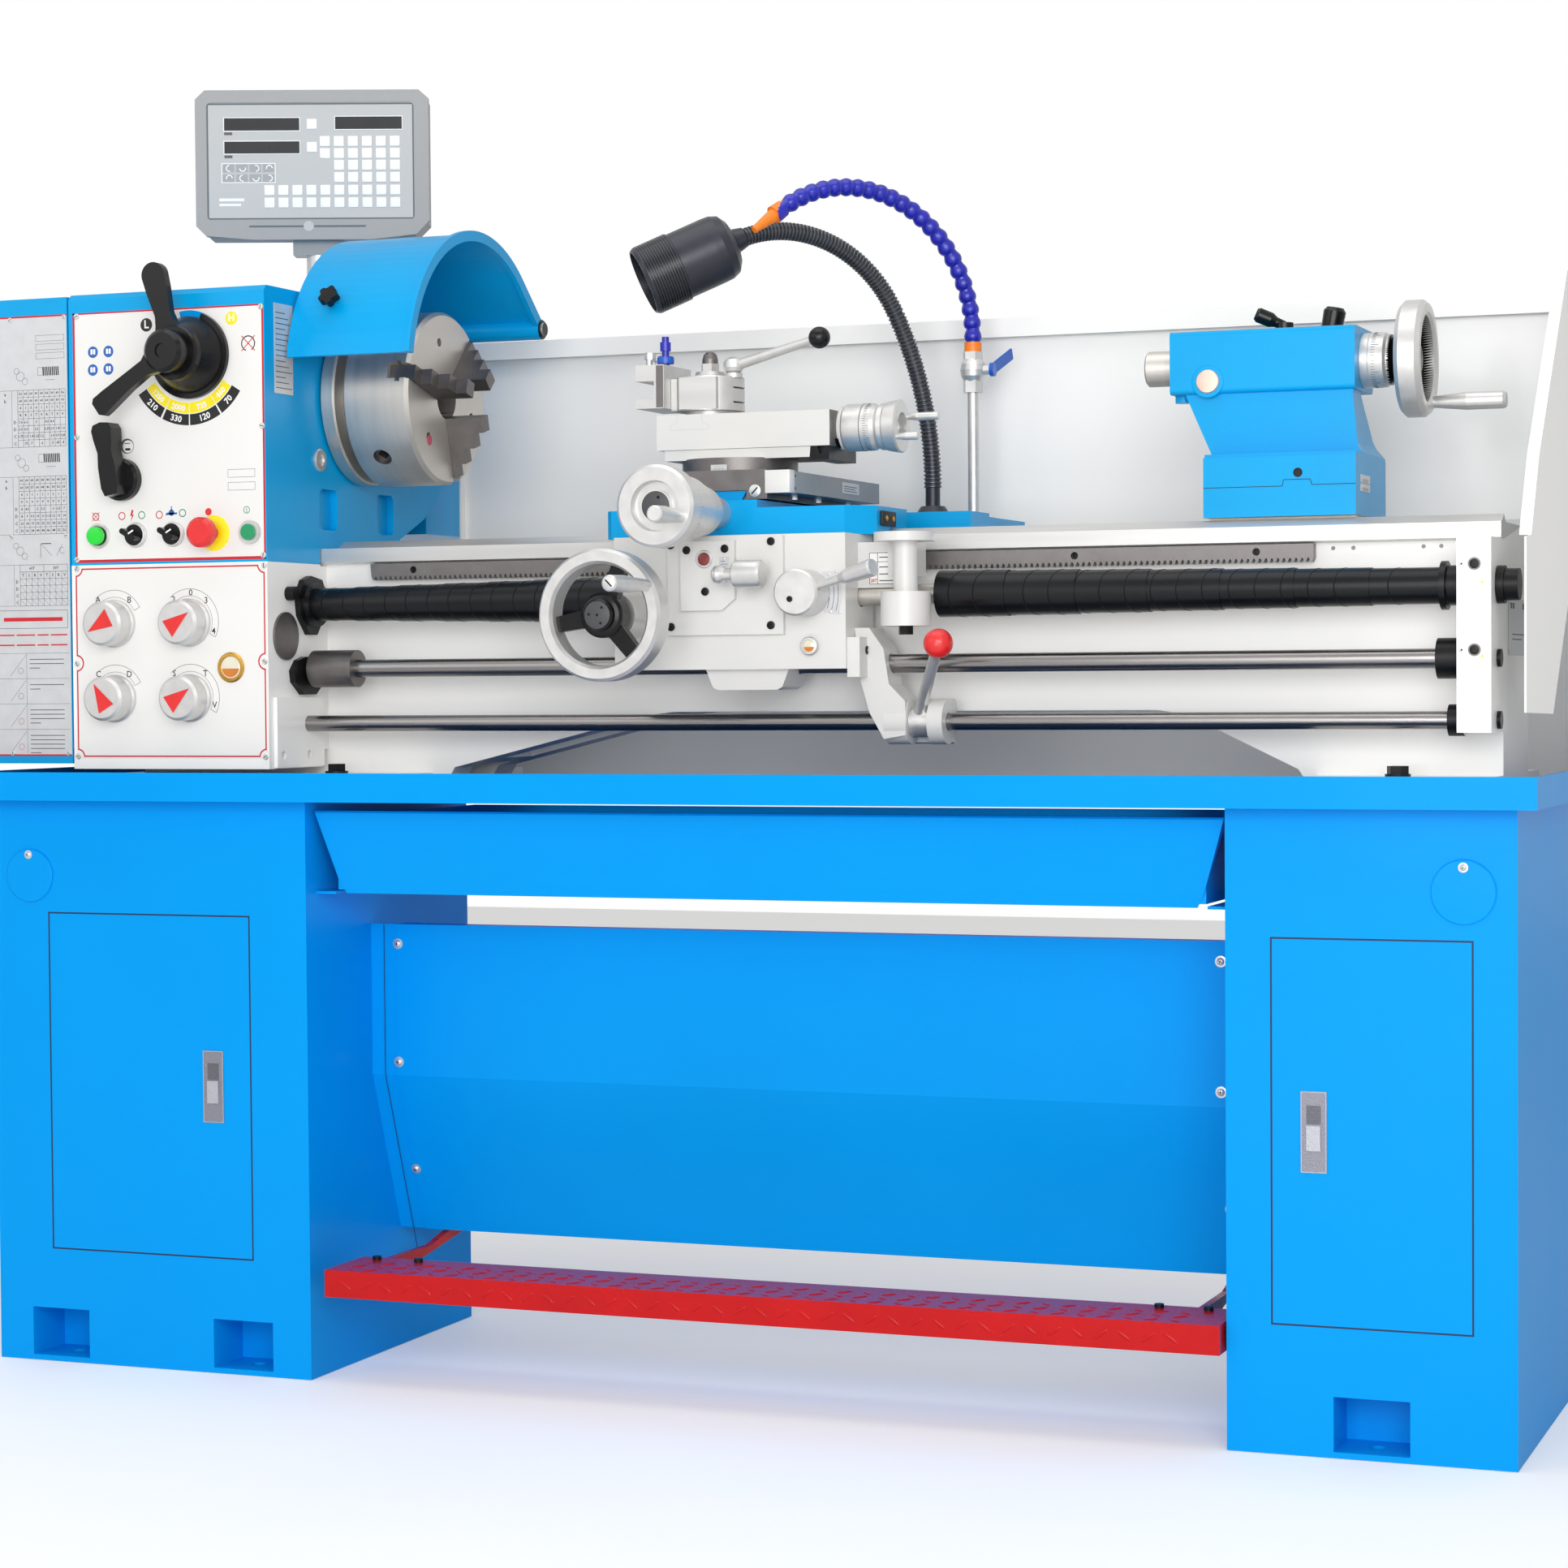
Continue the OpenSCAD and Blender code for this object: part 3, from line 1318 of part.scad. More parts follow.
module tool_post_lever() {
    z0 = 1114 + gap;
    c = [-14, pivot_y - 8, 1122];
    d = [cos(post_lever_a), sin(post_lever_a), 0.235];
    l = 108 * norm(d);
    color("silver") translate([c[0], c[1], z0]) rotate_extrude()
        polygon([[0, 0], [7, 0], [9.5, 2], [11.2, 6], [11.2, 11], [9, 15], [5, 17.4], [0, 18]]);
    // rod and ball, turned in one piece
    color("black") turned_on(c, d, concat([[0, 3], [6, 3]],
        [for (t = [-67.5 : 11.25 : 90]) [max(0, 12 * cos(t)), l + 12 * sin(t)]]));
}

// tool holder on the post's left face, with its tool slot, screws and height stop
module tool_holder() {
    x1 = -83 - gap;
    x0 = x1 - 34;
    y0 = pivot_y - 42;
    y1 = pivot_y + 36;
    color("silver")
        difference() {
            box(x0, x1, y0, y1, 1076, 1124);
            box(x0 - 1, x0 + 22, y0 - 1, y1 + 1, 1086, 1106);
            for (y = [y0 + 14, y0 + 39, y0 + 64])
                bar_z(3.5, 1105, 1125, x0 + 11, y);
        }
    color("black")
        for (y = [y0 + 14, y0 + 39, y0 + 64])
            bar_z(3.5, 1107, 1132, x0 + 11, y);
    color("royalblue") {
        bar_z(4, 1123, 1156, x1 - 6, y0 + 20);
        bar_z(9, 1126, 1134, x1 - 6, y0 + 20);
        bar_z(6, 1140, 1150, x1 - 6, y0 + 20);
    }
}

// ---- tailstock ---------------------------------------------------------------------

module tailstock_body() {
    color("dodgerblue")
        difference() {
            union() {
                // barrel housing and the waist that narrows down to the base
                along_x(tail_x0, tail_x1) translate([ax_y, 0]) round_rect(-48, 48, 1073, 1139, 5);
                difference() {
                    along_y(-56, 66) polygon([[490, 1076], [670, 1076], [669, 1070],
                        [674, 1016], [679, 1006], [679, 1003], [521, 1003], [518, 1012]]);
                    along_x(480, 700) polygon([[-17, 1077], [-17, 1073], [29, 1022],
                        [66, 1007], [70, 1007], [70, 1077]]);
                }
                // upper and lower base, with a step key in the seam
                box(520, 679, -90, 62, 973, 1007);
                box(519.5, 679.5, -94, 66, way_z + 11, 1003.5);
                box(522, 677, -76, 66, way_z + gap, way_z + 12);
                // clamp block between the ways
                box(560, 650, -46, 14, way_z - 30, way_z + 12);
                // locking screw's boss under the barrel
                bar_z(9, 1066, 1074, 484, -34);
            }
            along_x(515, 690) polygon([[vee_r - 15, way_z - 1], [vee_r - 15, way_z + gap],
                [vee_r, way_z + vee_h + 1.5], [vee_r + 15, way_z + gap],
                [vee_r + 15, way_z - 1]]);
            bar_x(quill_r + run, tail_x0 - 1, tail_x1 + 1, ax_y, ax_z);
            bar_z(6 + run, ax_z + quill_r + 3, 1140, lock_x, 0);
            bar_y(7 + run, 20, 40, clamp_x, 1094);
        }
}

// quill with a taper socket
module quill() {
    color("silver")
        difference() {
            turned_x(440, ax_y, ax_z, [[0, 0], [quill_r - 2, 0], [quill_r, 2],
                [quill_r, 200], [0, 200]]);
            turned_x(439, ax_y, ax_z, [[0, 0], [9.2, 0], [7.6, 70], [0, 74]]);
        }
}

module tailstock_handwheel() {
    r = tail_wheel_d / 2;
    x = tail_x1 + gap;
    color("silver") {
        turned_x(x, ax_y, ax_z, [[0, 0], [28.6, 0], [28.6, 8], [28, 8.6], [28.6, 9.2],
            [28.6, 24], [26.5, 27], [26.5, 30], [0, 30]]);
        turned_x(x + 41, ax_y, ax_z, [[r - 16, 4], [r - 13, 0], [r - 5, 0], [r, 5], [r, 22],
            [r - 4, 27], [r - 13, 27], [r - 16, 24]]);
        translate([x + 64, ax_y, ax_z]) rotate([-54.6, 0, 0])
            turned_x(0, r - 8, 0, [[0, 0], [6, 0], [6.6, 8], [9.5, 38], [9.2, 76], [7.5, 79],
                [0, 79]]);
    }
    color("black") {
        turned_x(x + 29, ax_y, ax_z, [[0, 0], [26, 0], [24, 3], [20, 8], [20, 26], [14, 30],
            [0, 30]]);
        // dished web of the wheel
        turned_x(x + 44, ax_y, ax_z, [[18, 0], [r - 14, 6], [r - 14, 10], [18, 5]]);
    }
}

module quill_lock() {
    a = [lock_x, 0, 1147];
    b = [lock_x - 20, -6, 1156];
    color("black") {
        bar_z(6, ax_z + quill_r + 5, 1141, lock_x, 0);
        bar_z(9.5, 1139 + gap, 1150, lock_x, 0);
        turned_on(a, b - a, [[0, 0], [5, 0], [5.5, 10], [8, 16], [8, 30], [6, 33], [0, 33]]);
    }
}

// bed clamp lever behind the barrel
module clamp_lever() {
    a = [clamp_x, 46.5, 1094];
    b = [clamp_x + 14, 46.5, 1169];
    color("black") {
        bar_y(7, 22, 54, clamp_x, 1094);
        bar_y(14, 33 + gap, 53, clamp_x, 1094);
        turned_on(a, b - a, [[0, 0], [7, 0], [7, 22], [11, 34], [12, 72], [9, 76], [0, 76]]);
    }
}

// ---- what is drawn -------------------------------------------------------------------

left_cabinet();
right_cabinet();
chip_tray();
front_panel();
bed();
headstock();
feed_gearbox();
splash_guard();
end_bracket();
rack();
motor();
end_train();
spindle();
chuck_body();
jaw_1();
jaw_2();
jaw_3();
saddle();
apron();
rod_bracket();
work_lamp();
coolant_line();
carriage_handwheel();
halfnut_lever();
feed_lever();
control_lever();
valve_handle();
cross_slide();
cross_handwheel();
compound_base();
top_slide();
top_slide_handle();
tool_post();
tool_post_lever();
tool_holder();
tailstock_body();
quill();
tailstock_handwheel();
quill_lock();
clamp_lever();
leadscrew();
feed_rod();
control_rod();
screw_covers();
left_door();
right_door();
brake_pedal();
chip_drawer();
chuck_guard();
end_cover();
dro_display();
speed_lever();
range_lever();
direction_lever();
estop_button();
start_button();
knob_1();
knob_2();
knob_3();
knob_4();
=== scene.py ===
# %% [markdown]
# # A bench lathe, dressed for the workshop catalogue
# The castings, sheet metal, shafts and handles come ready made from the CAD model. This script
# gives each of them a finish, and adds what the model leaves out: face plates, scales, screws, the
# readout's keys, the spiral screw covers and the lamp's ribs. Every new piece but the two screw
# covers rides on a body of the machine, so it moves when its slide or lever moves.

# %% Load the machine
from math import atan2, cos, degrees, pi, radians, sin, sqrt

import bpy
from mathutils import Matrix, Vector


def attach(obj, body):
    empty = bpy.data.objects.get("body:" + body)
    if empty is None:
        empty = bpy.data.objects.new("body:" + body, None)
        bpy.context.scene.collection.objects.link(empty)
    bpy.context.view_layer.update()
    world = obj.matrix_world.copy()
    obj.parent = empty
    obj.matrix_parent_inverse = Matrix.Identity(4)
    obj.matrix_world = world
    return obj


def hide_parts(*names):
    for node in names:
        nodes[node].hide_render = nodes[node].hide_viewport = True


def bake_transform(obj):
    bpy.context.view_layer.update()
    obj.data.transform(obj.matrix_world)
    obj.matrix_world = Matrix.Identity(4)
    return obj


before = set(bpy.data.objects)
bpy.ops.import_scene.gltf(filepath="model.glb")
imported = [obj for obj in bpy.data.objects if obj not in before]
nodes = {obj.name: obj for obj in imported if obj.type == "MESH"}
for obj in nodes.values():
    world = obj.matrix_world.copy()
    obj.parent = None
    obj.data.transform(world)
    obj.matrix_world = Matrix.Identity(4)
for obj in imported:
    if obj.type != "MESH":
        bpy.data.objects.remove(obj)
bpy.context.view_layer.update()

# %% [markdown]
# ## Camera
# The catalogue view looks slightly from the tailstock end, a little below chuck height, with a
# long lens, so that upright lines stay upright. A camera looks down its own -Z axis, so its matrix
# is built from three directions: right, up and back.

# %% Camera
YAW, PITCH, ROLL = 0.368, -0.0304, -0.0075
EYE = Vector((1.3804, -3.5493, 0.7740))
LENS = 77.57


def view_axes(yaw, pitch, roll):
    ahead = Vector((-sin(yaw) * cos(pitch), cos(yaw) * cos(pitch), sin(pitch)))
    above = Vector((sin(yaw) * sin(pitch), -cos(yaw) * sin(pitch), cos(pitch)))
    side = Vector((cos(yaw), sin(yaw), 0))
    return (side * cos(roll) + above * sin(roll), above * cos(roll) - side * sin(roll), -ahead)


camera = bpy.data.objects.new("camera", bpy.data.cameras.new("camera"))
bpy.context.scene.collection.objects.link(camera)
camera.data.lens = LENS
camera.data.sensor_width = 36
camera.data.clip_end = 60
right, up, back = view_axes(YAW, PITCH, ROLL)
camera.matrix_world = Matrix((
    (right.x, up.x, back.x, EYE.x),
    (right.y, up.y, back.y, EYE.y),
    (right.z, up.z, back.z, EYE.z),
    (0, 0, 0, 1)))
bpy.context.scene.camera = camera
bpy.context.scene.view_settings.view_transform = "Standard"
print("camera at", tuple(round(c, 3) for c in EYE))

# %% [markdown]
# ## Finishes
# A finish is a small node tree: a base colour, a little mottling from noise so that no surface is
# one flat colour, roughness that varies from place to place, and a fine bump. Painted textures
# would do it too, but noise needs no unwrapping and stays sharp in close views. All patterns read
# Object coordinates, in metres, so a noise scale of 100 means detail about a centimetre across.
# `feed` fills a node's inputs by name, either with a value or with a link from another node.

# %% A helper that builds a finish
COAT_ROUGHNESS, SMOOTHEST, BUMP_HEIGHT = 0.08, 0.03, 0.001


def linear(rgb):
    """screen values from 0 to 255, turned into the linear ones that shaders use"""
    return [((c / 255 + 0.055) / 1.055) ** 2.4 if c > 10 else c / 3294 for c in rgb]


def wire(tree, port, value):
    if isinstance(value, bpy.types.NodeSocket):
        tree.links.new(value, port)
    else:
        port.default_value = value


def feed(tree, node, **inputs):
    for name, value in inputs.items():
        wire(tree, node.inputs[name.replace("_", " ")], value)
    return node


def finish(name, rgb, rough=0.4, metal=0.0, mottle=0.08, grain=60, bump=0.05, bump_grain=900,
           stretch=(1, 1, 1), coat=0.0, rough_swing=0.12, sheen_level=0.5):
    material = bpy.data.materials.new(name)
    material.use_nodes = True
    tree = material.node_tree

    def add(kind, **inputs):
        return feed(tree, tree.nodes.new("ShaderNode" + kind), **inputs)

    place = add("Mapping", Vector=add("TexCoord").outputs["Object"], Scale=stretch)
    place = place.outputs["Vector"]
    cloud = add("TexNoise", Vector=place, Scale=grain, Detail=5).outputs["Fac"]
    ramp = add("ValToRGB", Fac=cloud)
    for stop, where, gain in zip(ramp.color_ramp.elements, (0.25, 0.75), (1 - mottle, 1 + mottle)):
        stop.position = where
        stop.color = [min(1, c * gain) for c in linear(rgb)] + [1]
    span = add("MapRange", Value=cloud, To_Min=max(SMOOTHEST, rough - rough_swing),
               To_Max=rough + rough_swing)
    fine = add("TexNoise", Vector=place, Scale=bump_grain).outputs["Fac"]
    relief = add("Bump", Strength=bump, Distance=BUMP_HEIGHT, Height=fine)
    feed(tree, tree.nodes["Principled BSDF"], Base_Color=ramp.outputs["Color"], Metallic=metal,
         Roughness=span.outputs["Result"], Normal=relief.outputs["Normal"], Coat_Weight=coat,
         Coat_Roughness=COAT_ROUGHNESS, Specular_IOR_Level=sheen_level)
    return material


print("finish helper ready")

# %% [markdown]
# The machine has a few kinds of finish. The stand is bright blue enamel, sprayed on sheet metal,
# so it has a clear gloss and a faint orange-peel bump. Castings are painted blue or grey-white
# over filled iron, which is duller. Slides, wheels and rods are bare ground steel, whose grain is
# stretched along the direction of grinding or turning.

# %% Paints
stand_blue = finish("stand enamel", (0, 154, 234), 0.36, mottle=0.03, grain=4, bump=0.03,
                    bump_grain=500, coat=0.02, rough_swing=0.05, sheen_level=0.08)
# The tray's floor is a darker blue than the stand: painted shade for the hollow of the tray.
tray_floor_shade = finish("tray floor painted shade", (6, 60, 112), 0.34, mottle=0.12, grain=7, bump=0.03,
                    bump_grain=300, rough_swing=0.1, sheen_level=0.2)
# Painted shade for the gaps and seams between parts: drawer and door edges, door gaps, flange
# joints and the tailstock's seam.
seam_shade = finish("shadowed seam", (10, 44, 84), 0.6, mottle=0.05, grain=8, bump=0.03)
cast_blue = finish("casting enamel", (0, 162, 225), 0.34, mottle=0.05, grain=9, bump=0.1,
                   bump_grain=260, coat=0.05, rough_swing=0.07, sheen_level=0.2)
cast_white = finish("grey-white enamel", (219, 218, 215), 0.38, mottle=0.03, grain=8, bump=0.1,
                    bump_grain=260, coat=0.15, rough_swing=0.07)
sheet_white = finish("white sheet enamel", (248, 247, 244), 0.34, mottle=0.02, grain=3, bump=0.03,
                     bump_grain=400, coat=0.2, rough_swing=0.05)
print("paints mixed")

# %% [markdown]
# Bare metal has a grain along the direction of grinding or turning. An anisotropic shader could
# give it, but stretching the noise along one axis is simpler, and it holds at every angle. The
# latches are rough cast metal, which a strong bump with a fine grain gives.

# %% Metals
steel = finish("ground steel", (205, 204, 202), 0.42, metal=0.7, mottle=0.07, grain=70, bump=0.1,
               bump_grain=700, stretch=(0.08, 1, 1))
rod_steel = finish("drawn rod steel", (150, 147, 146), 0.27, metal=1.0, mottle=0.1, bump=0.08,
                   stretch=(0.05, 1, 1))
rack_steel = finish("milled rack steel", (124, 120, 119), 0.42, metal=0.8, mottle=0.1, bump=0.1,
                    bump_grain=700)
pewter = finish("hammered latch metal", (140, 140, 150), 0.42, metal=0.6, mottle=0.35, grain=900,
                bump=0.6)
# Two copies of the latch metal: one lighter, as a painted highlight on the latch's grip and rim,
# and one darker, as painted shade in its recessed panel.
pewter_highlight = finish("latch metal painted highlight", (182, 183, 190), 0.4, metal=0.4, mottle=0.2, grain=900,
                      bump=0.4)
pewter_shade = finish("latch metal painted shade", (104, 104, 112), 0.46, metal=0.5, mottle=0.35, grain=900,
                     bump=0.6)
turned_steel = finish("turned steel", (206, 201, 194), 0.4, metal=0.85, mottle=0.07, grain=120,
                      bump=0.12, bump_grain=1400, stretch=(1, 0.05, 0.05))
satin_steel = finish("satin chrome", (214, 213, 211), 0.38, metal=0.7, mottle=0.05, grain=90,
                     bump=0.06)
dark_steel = finish("oiled steel", (118, 114, 113), 0.42, metal=0.9, mottle=0.16, grain=45,
                    bump=0.12, bump_grain=600)
black_oxide = finish("blacked steel", (24, 24, 26), 0.36, metal=0.3, mottle=0.2, bump=0.1,
                     bump_grain=700, sheen_level=0.3)
print("metals made")

# %% [markdown]
# The rest are plastics, prints, glass and rubber, and a few smaller paints and metals. Prints are
# nearly matt, and lenses are glossy with a clear coat. Each differs from the helper's own defaults
# only where it has to, so its line shows what makes it special.

# %% Plastics, prints and small parts
black_plastic = finish("black plastic", (12, 12, 14), 0.24, mottle=0.2, grain=50, bump=0.06,
                       coat=0.05, sheen_level=0.3)
grey_plastic = finish("grey moulded case", (160, 160, 160), 0.42, mottle=0.04, grain=30, bump=0.14,
                      bump_grain=1500)
grey_trim = finish("grey anodised housing", (150, 153, 156), 0.42, metal=0.3, mottle=0.05, grain=30,
                   bump=0.08, bump_grain=1500)
motor_grey = finish("motor enamel", (118, 122, 128), 0.45, grain=20, bump=0.15, bump_grain=300)
pedal_red = finish("red enamel", (196, 8, 12), 0.26, grain=14, bump=0.08, bump_grain=200, coat=0.1,
                   sheen_level=0.25)
signal_red = finish("red plastic", (222, 34, 34), 0.32, mottle=0.06, grain=40, bump=0.04, coat=0.3)
signal_green = finish("green plastic", (8, 150, 96), 0.32, grain=40, bump=0.04, coat=0.3)
lamp_green = finish("green lamp lens", (0, 214, 46), 0.22, mottle=0.06, bump=0.04, coat=0.5)
hose_blue = finish("blue hose plastic", (20, 26, 170), 0.3, mottle=0.1, coat=0.2)
valve_blue = finish("blue dipped handle", (20, 90, 190), 0.34, bump_grain=700)
orange = finish("orange plastic", (246, 130, 22), 0.34, mottle=0.06)
copper = finish("pale copper", (214, 182, 168), 0.34, metal=0.8, mottle=0.1, grain=90, bump=0.08)
brass = finish("brass", (206, 160, 78), 0.3, metal=1.0, mottle=0.12, grain=90, bump=0.08)
amber = finish("amber oil", (206, 118, 24), 0.16, mottle=0.12, grain=50, bump=0.02, coat=0.6)
sight_cream = finish("sight glass", (226, 222, 200), 0.14, mottle=0.06, bump=0.02, coat=0.6)
rubber = finish("belt rubber", (26, 26, 27), 0.62, mottle=0.15, grain=80, bump=0.15, bump_grain=800)
ink_black = finish("black print", (18, 18, 20), 0.5, mottle=0.15, grain=80, bump=0.02)
ink_grey = finish("grey print", (84, 86, 90), 0.5, mottle=0.1, grain=80, bump=0.02)
ink_red, ink_blue, ink_green = (
    finish(name + " print", rgb, 0.45, bump=0.02)
    for name, rgb in (("red", (200, 22, 40)), ("blue", (34, 98, 176)), ("green", (20, 138, 100))))
ink_yellow = finish("yellow print", (250, 230, 20), 0.45, mottle=0.05, bump=0.02)
ink_white = finish("white print", (244, 244, 244), 0.45, mottle=0.02, bump=0.02)
window_dark = finish("readout window", (50, 50, 52), 0.3, mottle=0.05, grain=40, bump=0.02,
                     sheen_level=0.15)
label_grey = finish("label plate", (206, 207, 209), 0.36, metal=0.3, mottle=0.05)
panel_grey = finish("readout panel", (188, 189, 189), 0.4, mottle=0.03, grain=12, bump=0.03)
cell_grey = finish("panel symbol", (160, 162, 164), 0.45, mottle=0.04, bump=0.02)
key_white = finish("white key", (246, 247, 248), 0.36, mottle=0.02, bump=0.03)
# Painted shade for the readout's groove and the edge of its panel.
edge_and_groove_shade = finish("groove painted shade", (92, 104, 110), 0.55, bump=0.03)
spot_red = finish("red key mark", (196, 84, 104), 0.45, metal=0.2, mottle=0.3, grain=400, bump=0.2,
                  bump_grain=700)
plug_red = finish("dark red plug", (132, 52, 54), 0.35, mottle=0.12)
lamp_enamel = finish("lamp enamel", (46, 48, 57), 0.34, metal=0.2, mottle=0.1)
neck_metal = finish("wound neck metal", (92, 94, 98), 0.3, metal=0.7, mottle=0.1)
lamp_glass = finish("lamp reflector", (176, 180, 188), 0.16, metal=0.7, mottle=0.25, grain=45,
                    bump=0.1, bump_grain=300)
plate_white = finish("printed plate", (234, 233, 230), 0.36, mottle=0.02, grain=6, bump=0.02,
                     bump_grain=400, coat=0.1)
motor_dark = finish("phosphated disc", (74, 75, 77), 0.48, metal=0.3, mottle=0.12, bump=0.08)
band_steel = finish("wound band steel", (27, 28, 30), 0.3, metal=0.6, mottle=0.2, grain=40,
                    bump=0.06, bump_grain=700, stretch=(0.2, 1, 1))
print("made", len(bpy.data.materials), "finishes")

# %% [markdown]
# ## Which part gets which finish
# A CAD part that is really several pieces, such as a wheel with a black hub or a gearbox with
# black flanges, keeps its one mesh and takes several finishes, face by face. A rule looks at the
# middle of each face, and where it matters at the way the face looks, and says which finish it
# gets, so nothing on the mesh has to move. The numbers in the rules are planes and distances on
# the machine, in metres. `off_axis` measures how far a point is from an axis; the axis runs along
# the coordinate that is left out.

# %% Helpers: dress a part by rules
def dress(node, *finishes, rule=None):
    """the rule gives the number of the finish for a face, from its centre and normal"""
    mesh = nodes[node].data
    mesh.materials.clear()
    for f in finishes:
        mesh.materials.append(f)
    for face in mesh.polygons:
        face.material_index = rule(face.center, face.normal) if rule else 0


def off_axis(c, x=None, y=None, z=None):
    return sqrt(sum((a - b) ** 2 for a, b in zip(c, (x, y, z)) if b is not None))


SPINDLE = (-0.015, 1.105)
LAMP_BACK = Vector((-0.0374, -0.0067, 1.2699))
LAMP_AIM = Vector((-90, -48, -46)).normalized()


def along_lamp(c):
    return (Vector(c) - LAMP_BACK).dot(LAMP_AIM)


def off_lamp(c):
    return (Vector(c) - LAMP_BACK - along_lamp(c) * LAMP_AIM).length


print("the lamp is aimed along", tuple(round(a, 2) for a in LAMP_AIM))

# %% [markdown]
# First come the stand, the bed and the headstock with its chuck. The cabinets, doors, tray and
# pedal are enamelled sheet metal; the tray's floor and the edges of the drawer and doors are darker
# as painted shade, and the latches' grips lighter as a painted highlight. The bed, headstock and
# gearbox are painted castings with ground faces, black flanges and dark seams, and the bed's low
# front strip over the tray is blacked as painted shade. Two parts need a longer rule, so theirs are
# functions.

# %% Paint the stand, bed and headstock
PLATE_FACE = -0.2345
CHUCK_SIDE = -0.5139


def door_rule(c, n):
    """the latch's grip, lighter as a painted highlight, its dish, the door's edges in painted
    shade, and the sheet itself
    """
    beside_latch = min(abs(c.x + 0.581), abs(c.x - 0.668)) < 0.0118
    if c.y < -0.2515:
        return 3
    if c.y < -0.2501 or (beside_latch and 0.2845 < c.z < 0.3625 and c.y > -0.2496):
        return 1
    return 2 if abs(n.y) < 0.5 else 0


def headstock_rule(c, n):
    """the selectors' rims, what stands on the plate, the chuck's side and the readout's foot"""
    if -0.2395 < c.y < -0.2341 and -0.7 < c.x < -0.6:
        return 4
    if (c.y < PLATE_FACE and c.x < -0.56) or c.x > -0.4:
        return 2
    if c.y < PLATE_FACE or c.x > CHUCK_SIDE:
        return 1
    foot = c.z > 1.1965 and c.y > 0.2 and abs(c.x + 0.695) < 0.04
    return 3 if foot and (c.y > 0.2151 or c.z > 1.221) else 0


for name in ("left_cabinet", "front_panel"):
    dress(name, stand_blue)
# The upward faces of the tray's floor take the darker blue, painted shade in the tray's hollow.
dress("chip_tray", stand_blue, tray_floor_shade, rule=lambda c, n: int(n.z > 0.9 and c.z < 0.668))
# The edge faces of the drawer front are painted shade.
dress("chip_drawer", stand_blue, seam_shade, rule=lambda c, n: int(c.y < -0.236 and abs(n.y) < 0.5))
dress("right_cabinet", stand_blue, motor_grey,
      rule=lambda c, n: int(c.z > 0.2005 and off_axis(c, 0.725, -0.02) < 0.06))
for name in ("left_door", "right_door"):
    dress(name, stand_blue, pewter, seam_shade, pewter_highlight, rule=door_rule)
dress("brake_pedal", pedal_red, black_oxide, steel, rule=lambda c, n: (
    2 if off_axis(c, None, 0.06, 0.14) < 0.009 else int(c.z > 0.1285 and c.y < -0.18)))
# The bed's low front strip, over the tray's rim, is blacked: painted shade for the dark gap there.
dress("bed", sheet_white, steel, black_oxide, rule=lambda c, n: (
    1 if c.z > 0.9135 and c.x > -0.51 else 2 if c.z > 0.6735 and c.y < -0.12 and c.z < 0.69 else 0))
dress("headstock", cast_blue, steel, black_plastic, grey_plastic, sheet_white,
      rule=headstock_rule)
dress("feed_gearbox", sheet_white, black_oxide, dark_steel, rule=lambda c, n: (
    0 if c.x < CHUCK_SIDE or (c.z < 0.7615 and c.x < -0.5085) else
    2 if c.x < -0.5105 and off_axis(c, None, -0.196, 0.829) < 0.0275 else 1))
dress("splash_guard", sheet_white)
dress("end_bracket", sheet_white, black_oxide, rule=lambda c, n: int(
    c.x < 0.7985 or c.x > 0.8335))
dress("rack", rack_steel)
dress("motor", motor_grey)
dress("end_train", dark_steel, rubber, rule=lambda c, n: int(
    c.x < -0.831 and -0.8625 < c.x and off_axis(c, None, 0.12, 1.122) > 0.071
    and off_axis(c, None, 0.158, 0.8) > 0.0345))
dress("spindle", turned_steel)
dress("chuck_body", turned_steel, dark_steel, rule=lambda c, n: int(
    off_axis(c, None, *SPINDLE) < 0.0985 and abs(c.x + 0.446) < 0.0115))
for name in ("jaw_1", "jaw_2", "jaw_3"):
    dress(name, dark_steel)
print("stand, bed, headstock and chuck are dressed")

# %% [markdown]
# Then the carriage and its slides, with the lamp and the coolant line. The handwheels are satin
# chrome, and the carriage wheel has a black hub. The levers are bright steel; the tool post's has
# a black ball and the control lever a red one. A turned part is told apart from its neighbour by
# its distance from an axis, which needs no selection by hand and survives a change of the mesh.

# %% Paint the carriage and the slides
dress("saddle", cast_blue, steel, rule=lambda c, n: int(
    off_axis(c, 0, None, 0.956) < 0.0172 and c.y < -0.1665))
dress("apron", cast_white, brass, black_plastic, rule=lambda c, n: (
    1 if c.z < 0.82 and c.y < -0.1995 and abs(c.x - 0.12) < 0.01 else
    2 if c.z < 0.832 and c.x > 0.1975 and c.y < -0.160 else 0))
dress("rod_bracket", cast_white)
dress("work_lamp", lamp_enamel, satin_steel, rule=lambda c, n: int(
    0.1025 < along_lamp(c) < 0.1135 and off_lamp(c) < 0.0345))
dress("coolant_line", hose_blue, satin_steel, orange, rule=lambda c, n: (
    1 if c.z < 1.1532 and c.y > 0.17 else 2 if c.z < 1.1641 and c.y > 0.17 or (
        c.x < 0.021 and c.z < 1.31) else 0))
dress("carriage_handwheel", satin_steel, black_plastic, rule=lambda c, n: int(
    -0.2945 < c.y < -0.2795 and off_axis(c, -0.079, None, 0.845) < 0.0535
    or -0.3065 < c.y < -0.2635 and off_axis(c, -0.079, None, 0.845) < 0.0245))
for name in ("halfnut_lever", "feed_lever"):
    dress(name, satin_steel)
dress("tool_post_lever", satin_steel, black_plastic, rule=lambda c, n: int(
    off_axis(c, 0.093, -0.093, 1.1474) < 0.0125))
